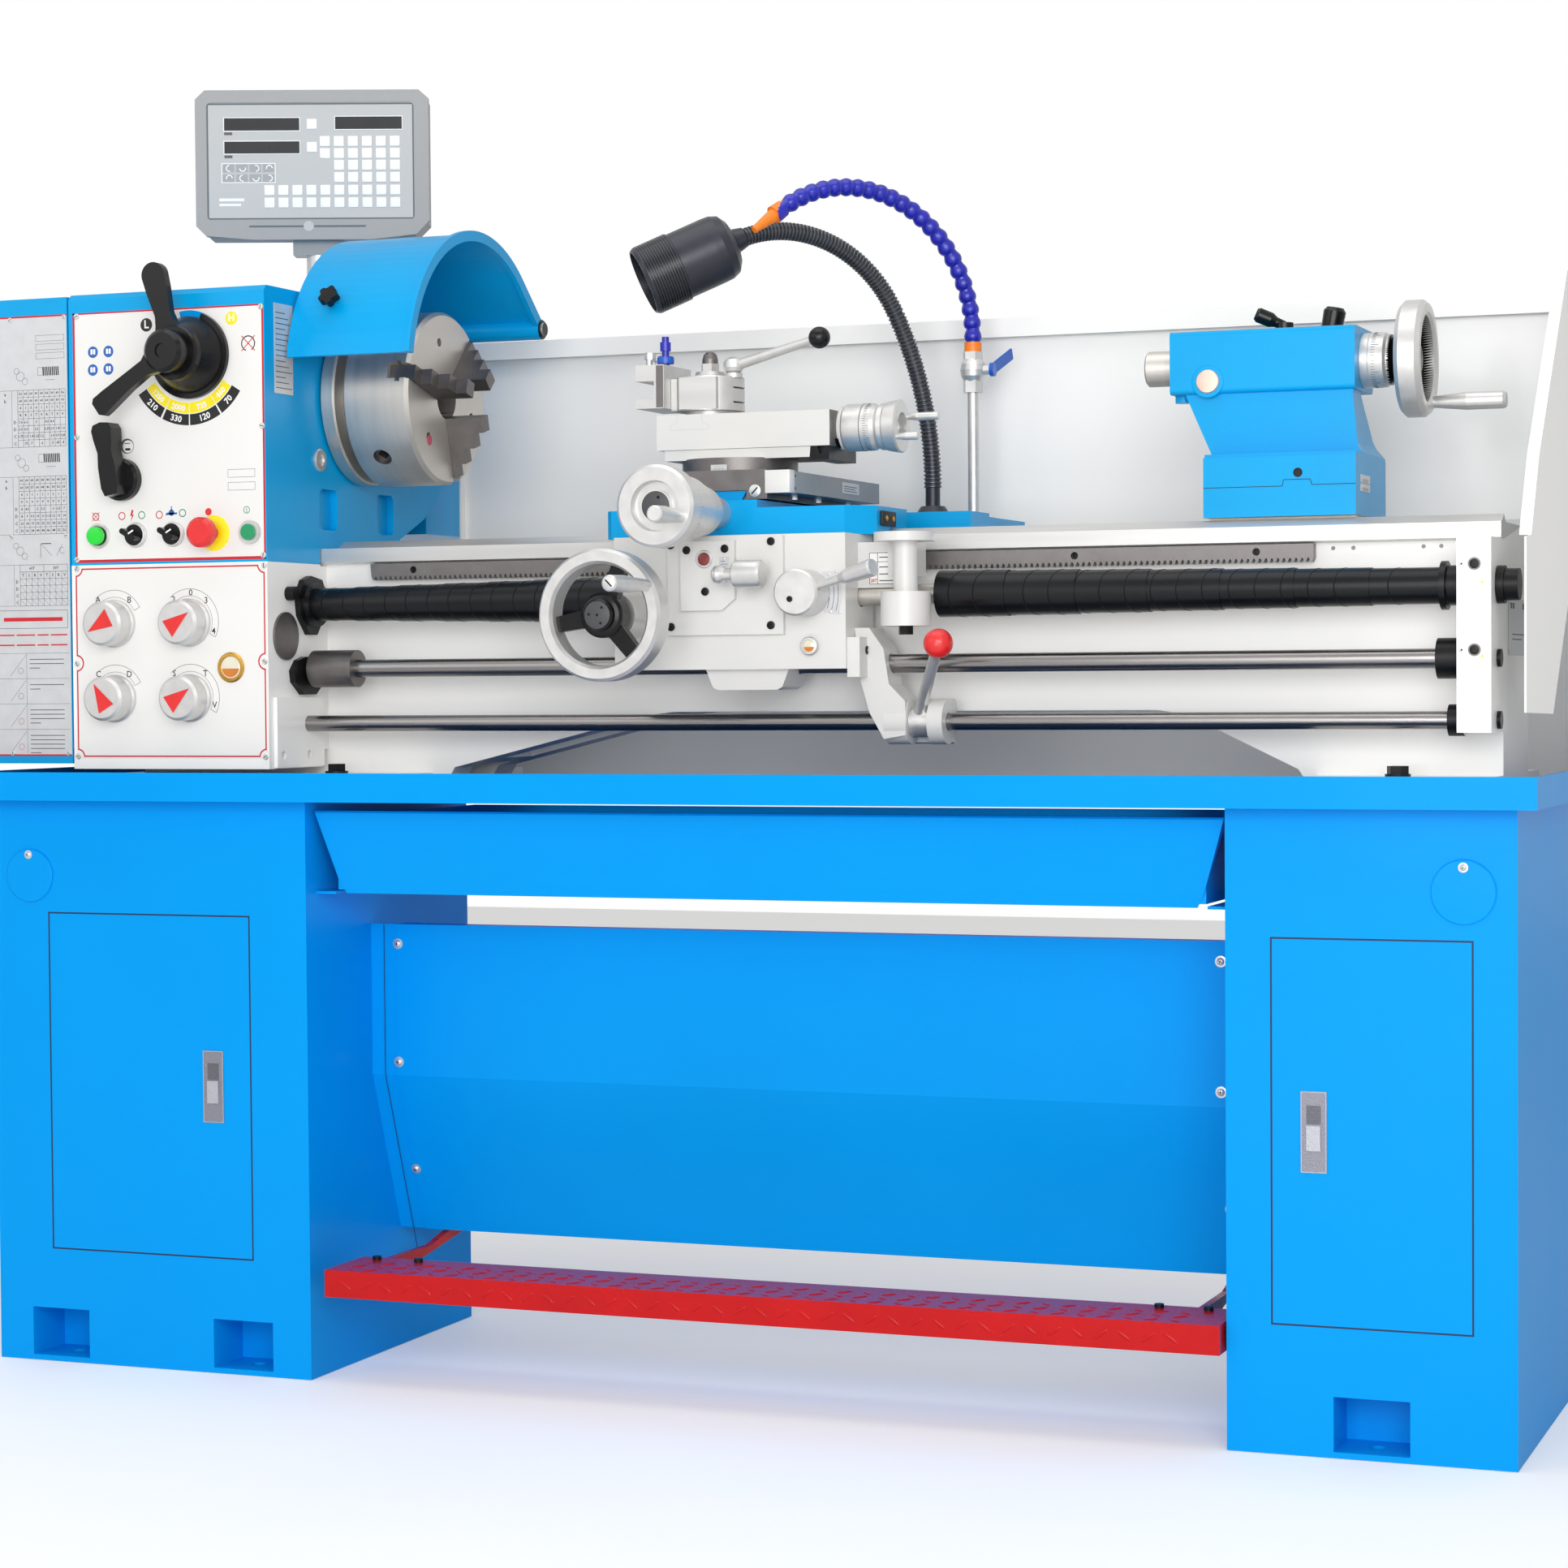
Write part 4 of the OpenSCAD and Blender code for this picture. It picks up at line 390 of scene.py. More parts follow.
dress("control_lever", satin_steel, signal_red, rule=lambda c, n: int(
    off_axis(c, 0.270, -0.222, 0.812) < 0.0158))
dress("valve_handle", valve_blue)
dress("cross_slide", dark_steel, grey_trim, steel, rule=lambda c, n: (
    1 if c.x > 0.0525 else 2 if c.y < -0.145 and off_axis(c, 0.038, None, 0.980) < 0.007 else 0))
dress("cross_handwheel", satin_steel)
dress("compound_base", cast_white, dark_steel, black_oxide, rule=lambda c, n: (
    1 if c.z < 1.0171 and c.x < 0.0885 else 2 if c.x > 0.0885 else 0))
dress("top_slide", cast_white, dark_steel, rule=lambda c, n: int(n.x > 0.9 and c.x > 0.1115))
dress("top_slide_handle", satin_steel)
dress("tool_post", steel, dark_steel, rule=lambda c, n: int(c.z > 1.1255))
dress("tool_holder", steel, hose_blue, satin_steel, rule=lambda c, n: (
    1 if c.x > -0.1000 and c.z > 1.1245 else 2 if c.z > 1.1245 else 0))
print("carriage is dressed")

# %% [markdown]
# Last come the tailstock, the rods and screws, the covers and the controls. The levers are black
# plastic, the buttons have their signal colours, and the four feed knobs red pointers. The CAD
# screw covers get a finish too, though a finer pair stands for them further down.

# %% Paint the tailstock, the rods and the controls
dress("tailstock_body", cast_blue, steel, rule=lambda c, n: int(c.z < 0.9418 and c.x > 0.558))
dress("quill", turned_steel)
dress("tailstock_handwheel", satin_steel, black_plastic, rule=lambda c, n: int(
    off_axis(c, None, *SPINDLE) < 0.0455 and 0.7015 < c.x < 0.732))
for name in ("quill_lock", "clamp_lever", "speed_lever", "range_lever", "direction_lever"):
    dress(name, black_plastic)
dress("leadscrew", turned_steel, black_oxide, rule=lambda c, n: int(c.x > 0.8325))
dress("control_rod", rod_steel)
dress("feed_rod", rod_steel, dark_steel, rule=lambda c, n: int(c.x < -0.445))
dress("screw_covers", black_oxide)
dress("chuck_guard", cast_blue, black_plastic, rule=lambda c, n: int(
    off_axis(c, None, -0.015, 1.115) > 0.1815 and c.y < -0.13 and c.x < -0.38))
dress("end_cover", cast_blue, motor_grey, rule=lambda c, n: int(c.y > 0.2255 and c.x > -0.805))
dress("dro_display", grey_plastic, satin_steel, rule=lambda c, n: int(c.z < 1.3175))
dress("estop_button", signal_red)
dress("start_button", signal_green)
for name in ("knob_1", "knob_2", "knob_3", "knob_4"):
    dress(name, satin_steel, signal_red, rule=lambda c, n: int(c.y < -0.2645))
print("dressed", len(nodes), "parts")

# %% [markdown]
# ## Tools for new pieces
# The pieces that follow are modelled the way a person would do it by hand: start from a primitive,
# go into edit mode, extrude and scale, then bevel. A few helpers keep that short. `tint` gives a
# piece its finish. `settle`, further down, names it and lets it ride on a body of the machine.

# %% Helpers: pick, bake and smooth
MM = 0.001


def pick(*pieces):
    bpy.ops.object.select_all(action="DESELECT")
    for piece in pieces:
        piece.select_set(True)
    if pieces:
        bpy.context.view_layer.objects.active = pieces[0]


def bake(piece):
    pick(piece)
    bpy.ops.object.transform_apply(location=True, rotation=True, scale=True)
    return piece


def outward(piece):
    """merges doubled points and turns every face to point outward"""
    pick(piece)
    bpy.ops.object.mode_set(mode="EDIT")
    bpy.ops.mesh.select_all(action="SELECT")
    bpy.ops.mesh.remove_doubles(threshold=1e-6)
    bpy.ops.mesh.normals_make_consistent(inside=False)
    bpy.ops.object.mode_set(mode="OBJECT")
    return piece


def smooth(piece, angle=35):
    pick(piece)
    bpy.ops.object.shade_smooth_by_angle(angle=radians(angle))
    return piece


def tint(piece, material):
    piece.data.materials.clear()
    piece.data.materials.append(material)
    return piece


print("pieces can be picked, baked and smoothed")

# %% [markdown]
# `modify` adds a modifier and applies it at once. `strew` is the tool for everything that repeats:
# one piece is modelled, copied to a list of places, and its copies are joined. An array modifier
# repeats along one line only, and these places follow arcs, rows and corners.

# %% Helpers: modify, copy and settle
def modify(piece, kind, **values):
    pick(piece)
    modifier = piece.modifiers.new(kind.lower(), kind)
    for key, value in values.items():
        setattr(modifier, key, value)
    bpy.ops.object.modifier_apply(modifier=modifier.name)
    return piece


def again(piece, place):
    """a copy of the piece, with its own mesh, moved to the place"""
    twin = piece.copy()
    twin.data = piece.data.copy()
    bpy.context.scene.collection.objects.link(twin)
    twin.data.transform(place)
    return twin


def together(pieces):
    pick(*pieces)
    if len(pieces) > 1:
        bpy.ops.object.join()
    return bpy.context.object


def strew(piece, places):
    """Copies the piece to each place, removes the original and joins the copies."""
    copies = [again(piece, place) for place in places]
    bpy.data.objects.remove(piece)
    return together(copies)


def settle(pieces, name, body):
    """joins the pieces into one, names it and lets it ride on a body of the machine"""
    piece = together(pieces) if isinstance(pieces, list) else pieces
    piece.name = piece.data.name = name
    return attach(piece, body)


print("pieces can be copied, joined and settled")

# %% [markdown]
# A turned piece, such as a lens, a screw head or a ring, starts as a filled circle. Each step of
# its outline is an extrusion along its axis followed by a scaling to the new radius, as on a real
# lathe the diameter changes from step to step. It is modelled upright at the origin, and then
# turned and moved. A slab is a cube scaled to its size, with bevelled edges so that they catch the
# light.

# %% Helpers: turned pieces and slabs
TO_FRONT = Matrix.Rotation(radians(90), 4, "X")
TO_RIGHT = Matrix.Rotation(radians(90), 4, "Y")


def at(x, y, z, turn=None):
    """a place in millimetres, for a piece that is turned first if it has to be"""
    place = Matrix.Translation((x * MM, y * MM, z * MM))
    return place @ turn if turn else place


def spin(angle):
    return Matrix.Rotation(radians(angle), 4, "Z")


def turned(outline, sides=32):
    """outline: (radius, height) pairs in millimetres, from the base to the tip"""
    pick()
    r, h = outline[0]
    bpy.ops.mesh.primitive_circle_add(vertices=sides, radius=r * MM, fill_type="NGON",
                                      location=(0, 0, h * MM))
    bpy.ops.object.mode_set(mode="EDIT")
    for (ra, ha), (rb, hb) in zip(outline, outline[1:]):
        bpy.ops.mesh.extrude_region_move(TRANSFORM_OT_translate={"value": (0, 0, (hb - ha) * MM)})
        bpy.ops.transform.resize(value=(rb / ra, rb / ra, 1), center_override=(0, 0, hb * MM))
    bpy.ops.object.mode_set(mode="OBJECT")
    return smooth(outward(bake(bpy.context.object)))


def slab(x, y, z, edge=0.4, steps=2):
    """x, y, z: (low, high) pairs in millimetres"""
    pick()
    bpy.ops.mesh.primitive_cube_add(size=1, location=[sum(p) / 2 * MM for p in (x, y, z)])
    piece = bpy.context.object
    piece.scale = [(p[1] - p[0]) * MM for p in (x, y, z)]
    bake(piece)
    modify(piece, "BEVEL", width=edge * MM, segments=steps)
    return smooth(piece)


print("turned pieces and slabs can be made")

# %% [markdown]
# Plates and print face the operator. Each could be a thin cube, but many have arcs or corners, so
# each is a filled ring of corner points instead, given in X and Z, and extruded toward the
# operator. An arc is a row of such points, so discs and bands are plates too.

# %% Helpers: plates, discs and arcs
def plate(points, y, depth):
    """a flat plate on (x, z) corners, from y toward the operator"""
    pick()
    bpy.ops.mesh.primitive_circle_add(vertices=len(points), radius=1, fill_type="NGON")
    piece = bpy.context.object
    for v, (px, pz) in zip(piece.data.vertices, points):
        v.co = (px * MM, y * MM, pz * MM)
    bpy.ops.object.mode_set(mode="EDIT")
    bpy.ops.mesh.select_all(action="SELECT")
    bpy.ops.mesh.extrude_region_move(TRANSFORM_OT_translate={"value": (0, -depth * MM, 0)})
    bpy.ops.mesh.select_all(action="SELECT")
    bpy.ops.mesh.normals_make_consistent(inside=False)
    bpy.ops.object.mode_set(mode="OBJECT")
    return piece


def arc(x, z, r, start, end, steps=24):
    """points on an arc round (x, z), from one angle to another in degrees"""
    return [(x + r * cos(radians(start + (end - start) * i / steps)),
             z + r * sin(radians(start + (end - start) * i / steps))) for i in range(steps + 1)]


def disc(x, z, r, y, depth, sides=28):
    return plate(arc(x, z, r, 0, 360, sides)[:-1], y, depth)


def arc_band(x, z, inner, outer, start, end, y, depth, steps=24):
    sides = arc(x, z, outer, start, end, steps) + arc(x, z, inner, end, start, steps)
    return plate(sides, y, depth)


print("plates, discs and arcs can be cut")

# %% [markdown]
# A frame is the same plate with its faces inset and bridged, so that its middle is open and the
# plate below shows. Everything printed stands a little proud of its plate, because two faces at
# the same depth would flicker. `printer` fixes how far, and gives a function that takes an ink, a
# shape and the shape's sizes.

# %% Helpers: frames, lines and print
def frame_line(points, width, y, depth):
    """only the edge of such a plate, as wide as `width`"""
    piece = plate(points, y, depth)
    for face in piece.data.polygons:
        face.select = len(face.vertices) == len(points) and abs(face.normal.y) > 0.9
    bpy.ops.object.mode_set(mode="EDIT")
    bpy.ops.mesh.select_mode(type="FACE")
    bpy.ops.mesh.inset(thickness=width * MM, use_individual=True)
    bpy.ops.mesh.bridge_edge_loops()
    bpy.ops.object.mode_set(mode="OBJECT")
    return outward(piece)


def ring(x, z, inner, outer, y, depth, sides=28):
    return frame_line(arc(x, z, outer, 0, 360, sides)[:-1], outer - inner, y, depth)


def line(x0, z0, x1, z1, width, y, depth):
    """a straight stroke between two points"""
    w = Vector((z0 - z1, x1 - x0)).normalized() * width / 2
    return plate([(x0 + w.x, z0 + w.y), (x0 - w.x, z0 - w.y), (x1 - w.x, z1 - w.y),
                  (x1 + w.x, z1 + w.y)], y, depth)


def rectangle(x0, x1, z0, z1):
    return [(x0, z0), (x1, z0), (x1, z1), (x0, z1)]


def box(x0, x1, z0, z1, y, depth):
    return plate(rectangle(x0, x1, z0, z1), y, depth)


def box_frame(x0, x1, z0, z1, width, y, depth):
    return frame_line(rectangle(x0, x1, z0, z1), width, y, depth)


def printer(y, depth):
    return lambda ink, shape, *sizes, **more: tint(shape(*sizes, y, depth, **more), ink)


print("flat shapes ready")

# %% [markdown]
# Letters and numbers on scales are text objects. They are turned into meshes before they are
# placed, each facing the operator, and all those of one plate are joined into one piece.

# %% Helper: printed figures
BODY = 1.36  # how much larger a letter's body is than the letter


def figures(marks, y, material, depth=0.05, bold=0.0, fine=2):
    """marks: (text, x, z, height, turn in degrees)"""
    made = []
    for text, x, z, height, turn in marks:
        pick()
        bpy.ops.object.text_add()
        mark = bpy.context.object
        mark.data.body = text
        mark.data.size = height * BODY * MM
        mark.data.align_x, mark.data.align_y = "CENTER", "CENTER"
        mark.data.extrude = depth * MM
        mark.data.offset = bold * MM
        mark.data.resolution_u = fine
        pick(mark)
        bpy.ops.object.convert(target="MESH")
        mark = bpy.context.object
        mark.data.transform(at(x, y, z, TO_FRONT @ spin(turn)))
        made.append(tint(mark, material))
    return together(made)


print("figures ready")

# %% [markdown]
# Screws come in two kinds. A slotted screw has a domed bright head whose slot is a black slab of
# painted shade, and a socket screw a blacked head with a hole in its top. Both stand on the XY
# plane and look up, and `put` turns and moves a piece to where it belongs.

# %% Helpers: screws
def put(piece, x, y, z, turn=None):
    piece.data.transform(at(x, y, z, turn))
    return piece


def slotted(r, h):
    head = tint(turned([(r, 0), (r, h * 0.5), (r * 0.8, h)], 20), satin_steel)
    # the slot is a black slab: painted shade for its depth
    slot = tint(slab((-r * 0.75, r * 0.75), (-r * 0.12, r * 0.12), (h * 0.8, h + 0.05), 0.02, 1),
                black_oxide)
    return together([head, slot])


def socket(r, h):
    outline = [(r, 0), (r, h * 0.8), (r * 0.88, h), (r * 0.5, h), (r * 0.46, h * 0.3)]
    return tint(turned(outline, 20), black_oxide)


def rivet(r):
    return tint(turned([(r, 0), (r * 0.9, r * 0.35), (r * 0.5, r * 0.6)], 14), satin_steel)


def screw_set(head, y, places, start, step):
    """one screw at each (x, z), every slot turned a little further than the last"""
    return strew(head, [at(x, y, z, TO_FRONT @ spin(start + step * i))
                        for i, (x, z) in enumerate(places)])


print("screws ready")

# %% [markdown]
# ## Face plate of the headstock
# A white printed plate with a red edge covers the front of the headstock. The speed dial has two
# scales of numbers under it: the low range is white on black, and the high range white on yellow.
# The scales are thin solid bands rather than a painted texture, so the print stays crisp close up.

# %% Headstock plate
FACE = -233.8
PRINT = -234.06
on_face, over_face = printer(PRINT, 0.06), printer(PRINT - 0.05, 0.06)
left, right, low_z, high_z = -762.5, -515, 914.8, 1198.6
settle(tint(box(left, right, low_z, high_z, FACE, 0.26), plate_white), "head_plate", "base")
settle([tint(box(*sides, PRINT, 0.08), ink_red) for sides in (
    (left, -759.8, low_z, high_z), (left, right, low_z, 918.2),
    (-517.4, right, low_z, high_z), (left, right, 1196.8, high_z))], "head_plate_edge", "base")

DIAL = (-611, 1144)
low = [on_face(ink_black, arc_band, *DIAL, 64.9, 77.3, start, end)
       for start, end in ((212, 241), (243, 269.4), (270.6, 301.2), (302.8, 328))]
high = [on_face(ink_yellow, arc_band, *DIAL, 52, 63.9, start, end)
        for start, end in ((212, 241.4), (242.6, 269.5), (270.5, 301.6), (302.4, 327))]
settle(low + high, "speed_scales", "base")
marks = []
for r, height, row in ((71.2, 7.2, (("210", 228), ("330", 256), ("120", 286), ("70", 315))),
                       (58.4, 6.6, (("1250", 227), ("2000", 256), ("735", 286), ("460", 314)))):
    marks += [(text, DIAL[0] + r * cos(radians(angle)), DIAL[1] + r * sin(radians(angle)), height,
               angle - 270) for text, angle in row]
settle(figures(marks, PRINT - 0.08, ink_white, bold=0.25), "speed_numbers", "base")
settle(on_face(stand_blue, arc_band, *DIAL, 30, 51.5, 58, 103), "range_sector", "base")
print(len(marks), "speeds on the dial")

# %% [markdown]
# The rest of the plate carries plain round symbols and bare boxes for numbers that a maker would
# fill in. Wording and marks of conformity are left off.

# %% Symbols on the headstock plate
spots = [on_face(ink_black, disc, -665.4, 1181.6, 7.6),
         on_face(ink_yellow, disc, -555.6, 1184.2, 7.6)]
for x, z in ((-736, 1153.8), (-715.6, 1153.8), (-736.4, 1133.6), (-715.8, 1134)):
    spots.append(on_face(ink_blue, disc, x, z, 6.6))
    spots += [over_face(ink_white, box, x0, x0 + 2.7, z - 2.6, z + 3.2)
              for x0 in (x - 3.1, x + 0.4)]
spots += [figures([("L", -665.4, 1181.8, 9.4, 0)], PRINT - 0.08, ink_white, bold=0.3),
          figures([("H", -555.6, 1184.3, 8.6, 0)], PRINT - 0.08, ink_white, bold=0.3),
          on_face(ink_black, arc_band, -534.6, 1155.3, 7.6, 8.9, -60, 250),
          over_face(ink_red, line, -543, 1147, -526, 1164, 1.0),
          over_face(ink_red, line, -543, 1164, -526, 1147, 1.0),
          on_face(ink_grey, ring, -692.3, 1045.9, 8.0, 8.5),
          on_face(ink_black, line, -696, 1049, -689, 1049, 0.9),
          on_face(ink_black, box, -695, -688.5, 1041, 1043.5),
          on_face(ink_black, box, -704.8, -702.8, 1034, 1046)]
spots += [on_face(ink_grey, box_frame, -562.5, -527.8, z, z + 9.1, 0.4) for z in (1006.6, 992.2)]
settle(spots, "head_symbols", "base")
print(len(spots), "symbols on the plate")

# %% [markdown]
# A second row of symbols stands over the controls: small rings in the colours of what they switch,
# a crossed ring, a bolt, a drop with its pipe, a full red disc for the stop and a dial.

# %% Symbols over the controls
icons = [on_face(colour, ring, x, z, 3.5, 4.6) for x, z, colour in (
    (-735, 967, ink_red), (-700.6, 967, ink_red), (-674.7, 967.4, ink_green),
    (-651.7, 967.2, ink_red), (-621.5, 968.5, ink_green))]
icons += [over_face(ink_red, line, -740, 962, -730, 972, 0.7),
          over_face(ink_red, line, -740, 972, -730, 962, 0.7),
          on_face(ink_red, plate, [(-687.6, 974), (-690, 966.5), (-687.6, 967.4), (-689, 960.5),
                                   (-684.8, 968.6), (-687, 967.8), (-685.4, 973)]),
          on_face(ink_blue, disc, -635.8, 969.2, 3.6),
          on_face(ink_blue, plate, [(-644, 966.4), (-642, 969.4), (-628.6, 969.4),
                                    (-628.6, 967.4)]),
          on_face(ink_blue, box, -636.5, -635.1, 971, 976.4),
          on_face(signal_red, disc, -588, 969, 4.2),
          on_face(ink_green, ring, -539, 970, 3.3, 4.1),
          on_face(ink_green, box, -539.4, -538.6, 967, 972)]
settle(icons, "control_symbols", "base")
print(len(icons), "symbols over the controls")

# %% [markdown]
# The controls stand in a row. The pilot lamp gets its lens, the two selectors a white pointer line
# and a bright bezel, the emergency stop its yellow disc, and the plate its slotted screws. The
# round ones are turned like the real parts, and no two slots point the same way, since nobody
# lines them up with a screwdriver.

# %% Control row and plate screws
settle(put(tint(turned([(10.4, 0), (10.4, 5.5), (9.6, 6.5), (4, 7.0)]), lamp_green),
           -731, -239, 945, TO_FRONT), "pilot_lens", "base")
pointer = tint(slab((-0.9, 0.9), (-9.3, -1.5), (13.6, 14.3), 0.2, 1), ink_white)
pointers = strew(pointer, [at(x, -240, 945, TO_FRONT @ spin(120)) for x in (-682, -633)])
bezel = tint(turned([(14.2, 0), (14.2, 2.6), (13.4, 3.4), (12.2, 3.4), (12.2, 2.2)]), satin_steel)
bezels = strew(bezel, [at(x, -234, 945, TO_FRONT) for x in (-682, -633, -731)])
settle([pointers, bezels], "selector_marks", "base")
settle(put(tint(turned([(20, 0), (20, 1.1), (19.2, 1.6), (10, 1.6)], 40), ink_yellow),
           -581, -233.9, 945, TO_FRONT), "stop_disc", "base")
settle(screw_set(slotted(3.4, 1.6), -234.05, (
    (-757, 1195), (-518, 1195.5), (-758.5, 1058), (-518, 1063), (-760.5, 918.5), (-518, 919)),
    25, 47), "head_plate_screws", "base")
print("control row ready")

# %% [markdown]
# ## Face plate of the feed gearbox
# A second white plate has a thin red line that steps round each of its six screws. Its outline is
# one closed row of arcs, and inset makes the line the same width all round. Beside each selector
# are its letters, with thin arcs.

# %% Gearbox plate
settle(tint(box(-764.5, -514.6, 691.5, 911.2, FACE, 0.26), plate_white), "feed_plate", "base")
left, right, low_z, high_z, mid, r = -763, -517, 693.5, 908.5, 800.5, 8
outline = (arc(left, low_z, r, 90, 0, 8) + arc(right, low_z, r, 180, 90, 8)
           + arc(right, mid, r, 270, 90, 12) + arc(right, high_z, r, 270, 180, 8)
           + arc(left, high_z, r, 360, 270, 8) + arc(left, mid, r, 90, -90, 12))
settle(on_face(ink_red, frame_line, outline, 1.7), "feed_plate_line", "base")

letters = [(text, x, z, 7.4, 0) for text, x, z in (
    ("A", -733.7, 872.5), ("B", -692.6, 871.6), ("2", -634.6, 871.4), ("0", -612.3, 878.6),
    ("3", -592.5, 869.5), ("4", -583.2, 835), ("C", -734.4, 787.6), ("D", -693.7, 787.3),
    ("S", -634.8, 787.8), ("T", -594.5, 787.5), ("V", -583.1, 752))]
settle(figures(letters, PRINT, ink_black, bold=0.1), "feed_letters", "base")
arcs = []
for x, z, start in ((-712, 846, 28), (-614, 846, -28), (-712, 761, 28), (-614, 761, -28)):
    c, s = cos(radians(start)), sin(radians(start))
    arcs += [on_face(ink_grey, arc_band, x, z, 37, 37.5, start, 132),
             on_face(ink_grey, arc_band, x, z, 29, 29.4, start, 132),
             on_face(ink_grey, line, x + 29 * c, z + 29 * s, x + 37.5 * c, z + 37.5 * s, 0.5)]
settle(arcs, "feed_arcs", "base")
print(len(letters), "letters and", len(arcs), "arcs")

# %% [markdown]
# The sight glass is a brass ring round a cream glass, half full of amber oil. The oil is a segment
# of a disc, cut off level at its surface, and lies just in front of the glass, which is simpler
# than a liquid behind a clear lens. Six slotted screws hold the plate, each in one of the line's
# rounded steps.

# %% Sight glass and plate screws
glass = [tint(turned([(17, 0), (17, 1.4), (15.6, 2.8), (13.2, 3.0), (12.4, 1.2)], 36), brass),
         tint(turned([(12.4, 0.4), (12.4, 1.5), (11.8, 1.9)], 36), sight_cream)]
glass = [put(piece, -561.2, -234, 794.2, TO_FRONT) for piece in glass]
glass.append(tint(plate(arc(-561.2, 794.2, 11.0, 187, 353, 20), -235.8, 0.3), amber))
settle(glass, "feed_oil_sight", "base")
settle(screw_set(slotted(3.4, 1.6), -234.05, (
    (-761, 908.6), (-517.6, 907.5), (-762.4, 800), (-518, 800.5), (-762.4, 694.4), (-518.5, 694)),
    60, 31), "feed_plate_screws", "base")
print("gearbox plate ready")

# %% [markdown]
# Two small things are on parts that move: the black cap on the chuck guard's hinge, which swings
# with the guard, and the red key mark on the face of the chuck, which turns with the spindle. Each
# rides on the body it is fixed to, so it needs no joint of its own.

# %% Hinge cap and key mark
settle(put(tint(turned([(11.4, 0), (11.4, 1.0), (10.4, 1.8)], 28), black_plastic),
           -355, 154, 1199, TO_RIGHT), "hinge_cap", "guard")
settle(put(tint(turned([(6.2, 0), (6.0, 0.3)], 24), spot_red),
           -399, -59.4, 1054.3, TO_RIGHT), "chuck_spot", "spindle_unit")
print("cap and mark ready")

# %% [markdown]
# ## Chart on the end cover
# The end cover carries the thread and feed chart: two tables of gears and pitches, a third of
# plain diagonals, and between them small diagrams of the gear train and of a thread. `rule_grid`
# rules a table from its four sides and the number of its cells, which is how a printer sets one.
# The warning panels below keep only their boxes and rows of plain strokes.

# %% Chart plate and its ruled lines
COVER = -234.05
INK = -234.32
on_cover = printer(INK, 0.05)
settle(tint(box(-880, -770.6, 694.5, 1198.6, COVER, 0.26), label_grey), "chart_plate", "cover")
settle([tint(box(-880, -770.6, z, z + 2, INK, 0.06), ink_red) for z in (694.5, 1196.6)],
       "chart_edge", "cover")


def rule_grid(x0, x1, columns, z0, z1, rows, width=0.45):
    """the lines of a table, evenly spaced"""
    dx, dz = (x1 - x0) / columns, (z1 - z0) / rows
    return ([on_cover(ink_grey, line, x0, z0 + dz * i, x1, z0 + dz * i, width)
             for i in range(rows + 1)]
            + [on_cover(ink_grey, line, x0 + dx * i, z0, x0 + dx * i, z1, width)
               for i in range(columns + 1)])


LEFT, RIGHT = -837, -773.5
lines = rule_grid(LEFT, RIGHT, 9, 1049, 1114, 8) + rule_grid(LEFT, RIGHT, 9, 949, 1015, 8)
lines += rule_grid(LEFT, RIGHT, 8, 867, 906, 5) + rule_grid(LEFT, RIGHT, 2, 906, 914, 1)
for low_z, high_z in ((1049, 1114), (949, 1015), (867, 914)):
    lines.append(on_cover(ink_grey, line, -845, low_z, -845, high_z, 0.35))
    lines += [on_cover(ink_grey, line, -874, z, LEFT, z, 0.35) for z in (low_z, high_z)]
for row in range(4):
    for column in range(8):
        x0, z0 = LEFT + 7.94 * column, 867 + 7.8 * row
        lines.append(on_cover(ink_grey, line, x0 + 0.6, z0 + 7.2, x0 + 7.3, z0 + 0.6, 0.25))
lines += [on_cover(ink_grey, box_frame, -812, -774, z - 8, z - 1, 0.35) for z in (1177, 1167, 1157)]
lines.append(on_cover(ink_grey, box_frame, -868, -774, 841, 862, 0.5))
lines += [on_cover(ink_grey, line, -874, z, -773, z, 0.35) for z in (812.6, 783.5, 754.5, 725.2)]
lines.append(on_cover(ink_grey, line, -830, 698, -830, 812.6, 0.35))
settle(lines, "chart_lines", "cover")
print(len(lines), "lines ruled")

# %% [markdown]
# The numbers follow: change gears a and b, the lever positions, and the pitches in each cell. A
# table is written column by column, from the top down, and an underscore is a blank cell.

# %% Numbers of the chart
TOP_TABLE = ("56 60 4 R 7.0 3.5 1.75 _", "60 60 1 R 6.0 3.0 1.5 .75", "60 60 3 S _ _ 1.4 .7",
             "30 60 4 T 5 2.5 1.25 _", "60 60 1 V _ _ 1.2 .6", "60 60 3 R 4.5 2.25 _ _",
             "30 60 1 T 4.0 2.0 1.0 .5", "60 60 3 V _ 1.8 0.9 .45", "56 63 3 V _ 1.6 0.8 .4")
LOW_TABLE = ("60 60 4 V 4 8 16 32", "60 54 1 V 4.5 9 18 36", "60 57 1 V _ 9.5 19 38",
             "60 60 1 V 5 10 20 40", "40 44 1 V 5.5 11 22 44", "40 46 1 V _ 11.5 23 46",
             "56 54 2 V 6 12 24 48", "40 52 1 V 6.5 13 26 52", "60 63 3 V 7 14 28 56")


def column_marks(cells, x, top, pitch, height):
    """the entries of one column, for `figures`"""
    return [(cell, x, top - pitch * (i + 0.5), height, 0)
            for i, cell in enumerate(cells.split()) if cell != "_"]


